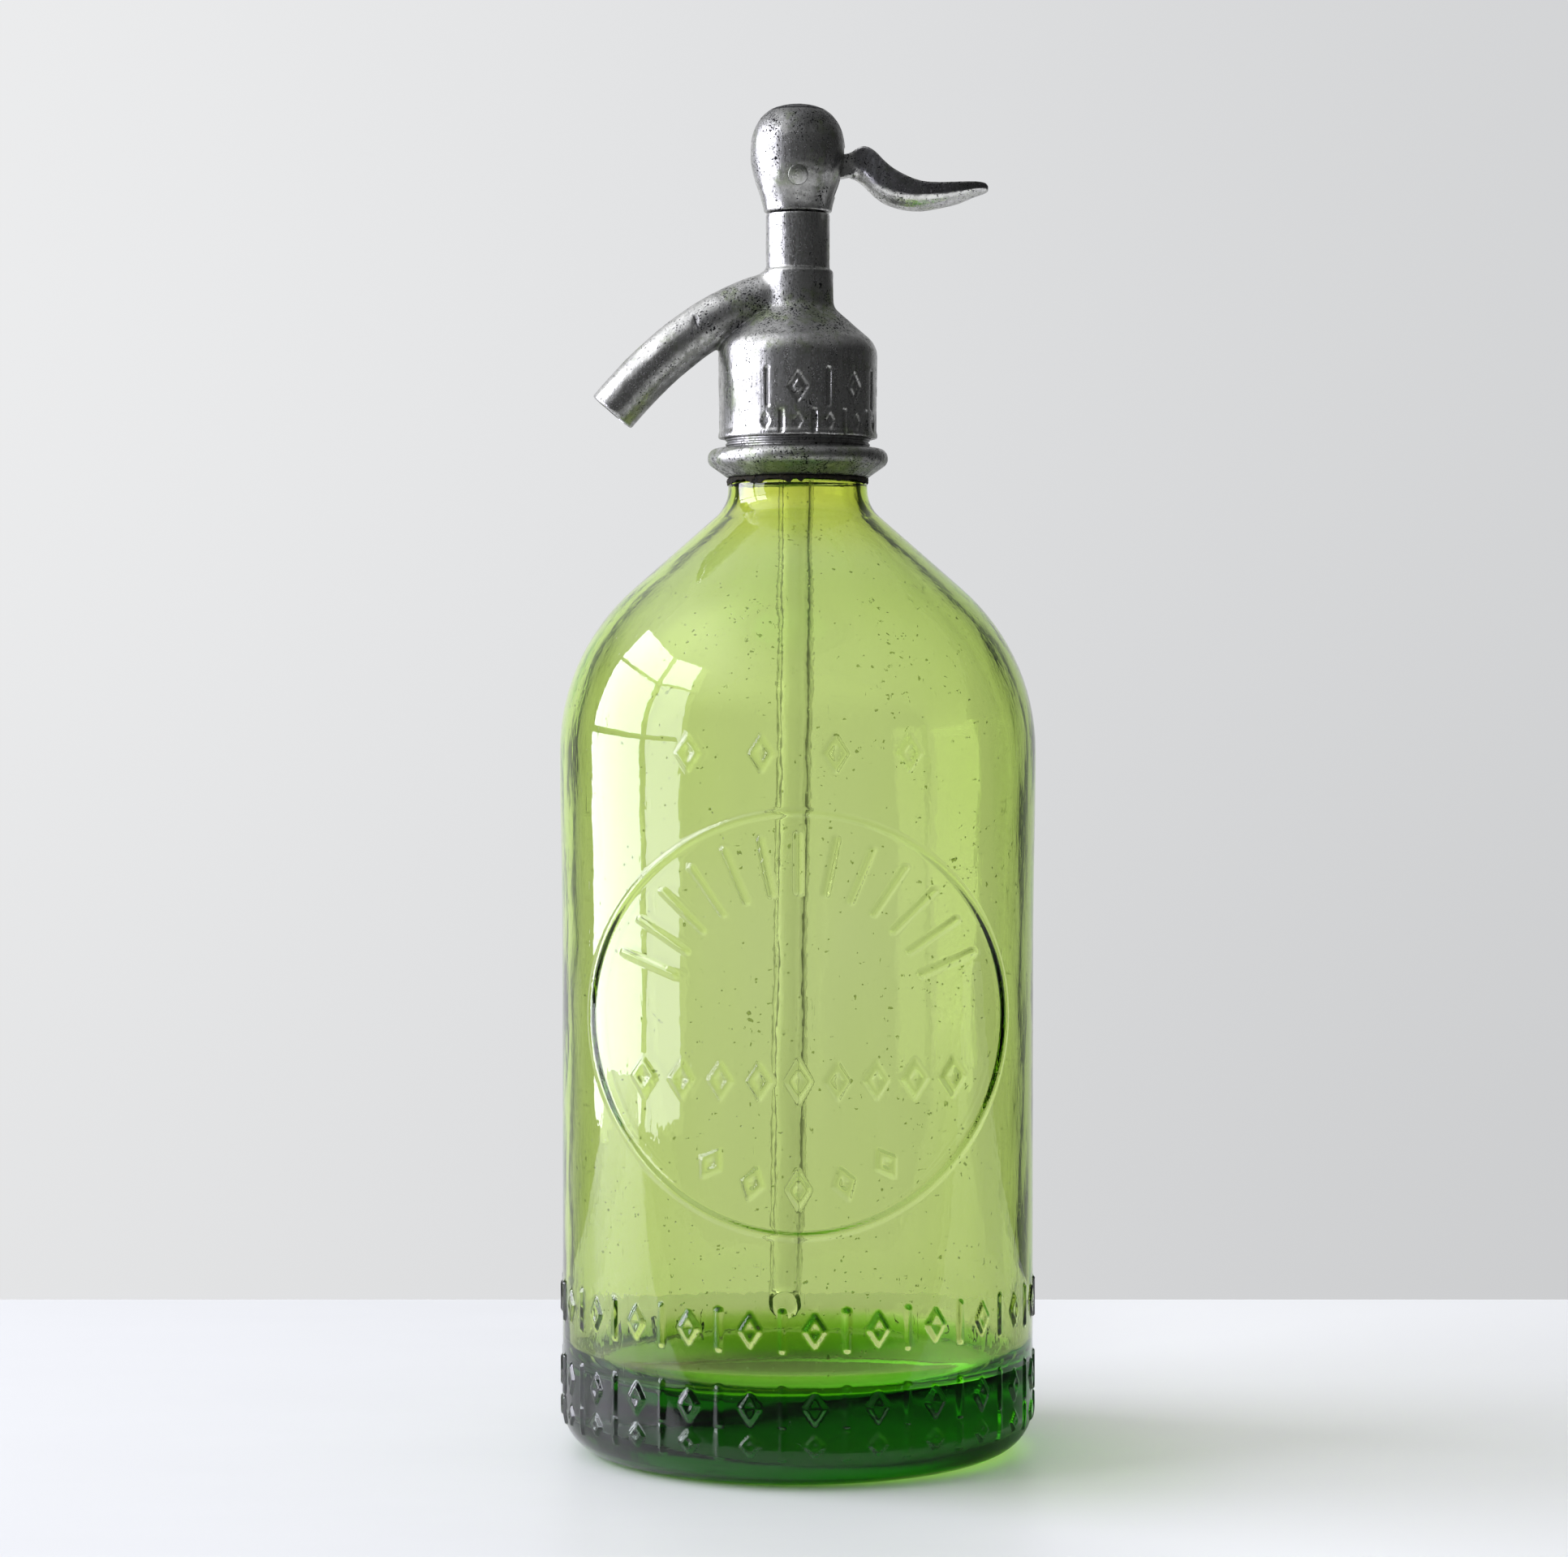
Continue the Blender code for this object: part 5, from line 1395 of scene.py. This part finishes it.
def crumbTree():
    tree, graph, wires = geometryTree("crumbs", {"Density": 1e5, "Smallest": 0.1 * mm, "Largest": 0.5 * mm})

    def anyVector(low, high, seed):
        settings = {"data_type": "FLOAT_VECTOR"}
        return graph.node("FunctionNodeRandomValue", settings, {0: low, 1: high, 8: seed})

    values = {"Mesh": wires["Geometry"], "Density": wires["Density"], "Seed": 7}
    points = graph.node("GeometryNodeDistributePointsOnFaces", {}, values)
    crumb = graph.node("GeometryNodeMeshIcoSphere", {}, {"Radius": 1.0, "Subdivisions": 1})
    values = {2: wires["Smallest"], 3: wires["Largest"], 8: 3}
    size = graph.node("FunctionNodeRandomValue", {}, values, out=1)
    values = {0: anyVector((0.5, 0.4, 0.4), (1.2, 1, 1), 4), "Scale": size}
    shape = graph.node("ShaderNodeVectorMath", {"operation": "SCALE"}, values)
    turn = anyVector((0, 0, 0), (6, 6, 6), 5)
    values = {"Points": points, "Instance": crumb, "Rotation": turn, "Scale": shape}
    crumbs = graph.node("GeometryNodeInstanceOnPoints", {}, values)
    joined = graph.node("GeometryNodeJoinGeometry", {}, {0: wires["Geometry"]})
    graph.fill(joined.socket.node, {0: crumbs})
    finishTree(graph, joined, wires)
    return tree


def makePacking():
    k = packing
    mesh = turnedMesh("skirt", [(r * mm, z * mm) for r, z in k["outline"]], 240, closed=True)
    points = coordinates(mesh)
    for i, (x, y, z) in enumerate(points):
        angle = math.atan2(y, x)
        ragged = noise.noise(Vector((math.cos(angle) * 2.6, math.sin(angle) * 2.6, 4.0)))
        ragged += 0.6 * noise.noise(Vector((math.cos(angle) * 11, math.sin(angle) * 11, 1.0)))
        hang = min(1.0, max(0.0, (225.3 * mm - z) / (1.3 * mm)))
        points[i, 2] += hang * k["ragged"] * min(1.0, max(-0.35, 0.45 - 1.6 * ragged))
        push = 1 + noise.noise(Vector((x, y, z)) * 1500) * 0.12 * mm / math.hypot(x, y)
        points[i, 0] *= push
        points[i, 1] *= push
    setCoordinates(mesh, points)
    values = {"Density": k["density"], "Smallest": k["smallest"], "Largest": k["largest"]}
    mesh = runTrees(mesh, finish["packing"], [(crumbTree(), values)])
    mesh.shade_flat()
    place(mesh, "packing_crumbs", finish["packing"], "root", "packing")


makePacking()


# Lever: place, top, ridge and belly, as shares of its length and depth, and its half width
lever = {
    "length": 44.2 * mm,
    "depth": 15.2 * mm,
    "width": 10.6 * mm,
    "dish": 0.7 * mm,
    "tang": 4.0 * mm,
    "tangArcs": (
        ((0, 0), 3.0 * mm, 105, 285, 0.5 * mm),
        ((3.2 * mm, -2.6 * mm), 1.2 * mm, 245, 360, 0.3 * mm),
    ),
    "tangTop": ((5.0 * mm, -0.6 * mm), (13.0 * mm, 0.8 * mm), (13.0 * mm, 6.3 * mm)),
    "voxel": 0.22 * mm,
    "root": (12.6 * mm, 2.2 * mm),  # the place of its softened root, and its reach
    "wear": (0.05 * mm, 0.03 * mm),
    "shares": (
        (0.272, 0.400, 0.283, 0.020, 0.208),
        (0.310, 0.460, 0.303, -0.026, 0.245),
        (0.353, 0.488, 0.158, -0.125, 0.302),
        (0.407, 0.405, -0.026, -0.276, 0.368),
        (0.471, 0.212, -0.145, -0.388, 0.434),
        (0.552, 0.056, -0.224, -0.460, 0.481),
        (0.638, -0.042, -0.250, -0.476, 0.500),
        (0.724, -0.070, -0.240, -0.444, 0.495),
        (0.837, -0.059, -0.200, -0.370, 0.443),
        (0.923, -0.049, -0.164, -0.270, 0.368),
        (0.980, -0.062, -0.145, -0.211, 0.264),
        (1.000, -0.105, -0.145, -0.178, 0.151),
    ),
    "sections": (
        (0.30, -0.85, 0.0, 0.0),
        (0.55, -0.52, 0.0, 0.0),
        (0.80, -0.10, 0.0, 0.0),
        (0.92, 0.0, 0.0, 0.0),
        (0.985, 0.0, 0.06, 0.0),
        (1.00, 0.0, 0.22, 0.0),
        (1.00, 0.0, 0.60, 0.0),
        (1.00, 0.0, 1.0, 0.0),
        (0.96, 0.0, 1.0, 0.20),
        (0.88, 0.0, 1.0, 0.40),
        (0.72, 0.0, 1.0, 0.66),
        (0.52, 0.0, 1.0, 0.85),
        (0.28, 0.0, 1.0, 0.97),
    ),
}


def between(rows, place):  # a smooth curve through the rows
    first = min(int(place), len(rows) - 2)
    t = place - first
    before = rows[max(first - 1, 0)]
    after = rows[min(first + 2, len(rows) - 1)]
    found = []
    for a, b, c, d in zip(before, rows[first], rows[first + 1], after, strict=True):
        bend = (2 * a - 5 * b + 4 * c - d) * t * t + (3 * b - a - 3 * c + d) * t * t * t
        found.append(b + 0.5 * ((c - a) * t + bend))
    return found


def leverSection(place, top, ridge, belly, half):
    v = lever
    x = v["length"] * place
    high, middle, low = v["depth"] * top, v["depth"] * ridge, v["depth"] * belly
    dish = v["dish"] * half / 0.5
    side = []
    for out, sink, down, under in v["sections"]:
        height = high + dish * sink + (middle - high) * down + (low - middle) * under
        side.append((v["width"] * half * out, height))
    near = [Vector((x, y, z)) for y, z in side]
    far = [Vector((x, -y, z)) for y, z in reversed(side)]
    return [Vector((x, 0, high - dish))] + near + [Vector((x, 0, low))] + far


def tangOutline():
    return [spot for values in lever["tangArcs"] for spot in arc(*values)] + list(lever["tangTop"])


def makeLever():
    v = lever
    rows = v["shares"]
    count = 8 * (len(rows) - 1) + 1
    blade = loft("blade", [leverSection(*between(rows, i / 8)) for i in range(count)])
    half = v["tang"] / 2
    rings = [[Vector((x, y, z)) for x, z in tangOutline()] for y in (-half, -half / 2, 0, half / 2, half)]
    mesh = fused("lever", [blade, loft("tang", rings)], v["voxel"], rounds=3)
    points = coordinates(mesh)
    root, reach = v["root"]
    soften(mesh, np.clip(1 - np.abs(points[:, 0] - root) / reach, 0, 1), 14)
    wear(mesh, *v["wear"], 1.3)
    mesh.transform(Matrix.Translation((0, 0, ball["pivot"])))
    hole, reach = ball["pinHole"], v["tang"]
    bore = crossPin("lever_bore", [(0, reach), (hole, reach), (hole, -reach), (0, -reach)], 48)
    mesh = combined(mesh, [bore])
    place(mesh, "lever_casting", finish["leverTin"], "lever", "aged_tin", ["lever"])


makeLever()

# The CAD's own inner pieces, and the spring
for key, names in {
    "rubber": ("tube_sleeve", "neck_gasket", "cage_gasket", "valve_disc"),
    "packing": ("collar_packing", "stem_packing"),
    "brass": ("valve_cage", "valve_holder", "valve_nut", "valve_stem", "gland_nut", "stem_button"),
}.items():
    for name in names:
        nodes[name].data.materials.clear()
        nodes[name].data.materials.append(finish[key])


def makeSpring():
    mesh = edit(
        nodes["return_spring"].data.copy(),
        lambda made: bmesh.ops.remove_doubles(made, verts=made.verts, dist=0.001 * mm),
    )
    mesh.shade_smooth()
    wire = place(mesh, "spring_wire", finish["steel"], "root", "steel", ["return_spring"])
    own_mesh(wire)


makeSpring()
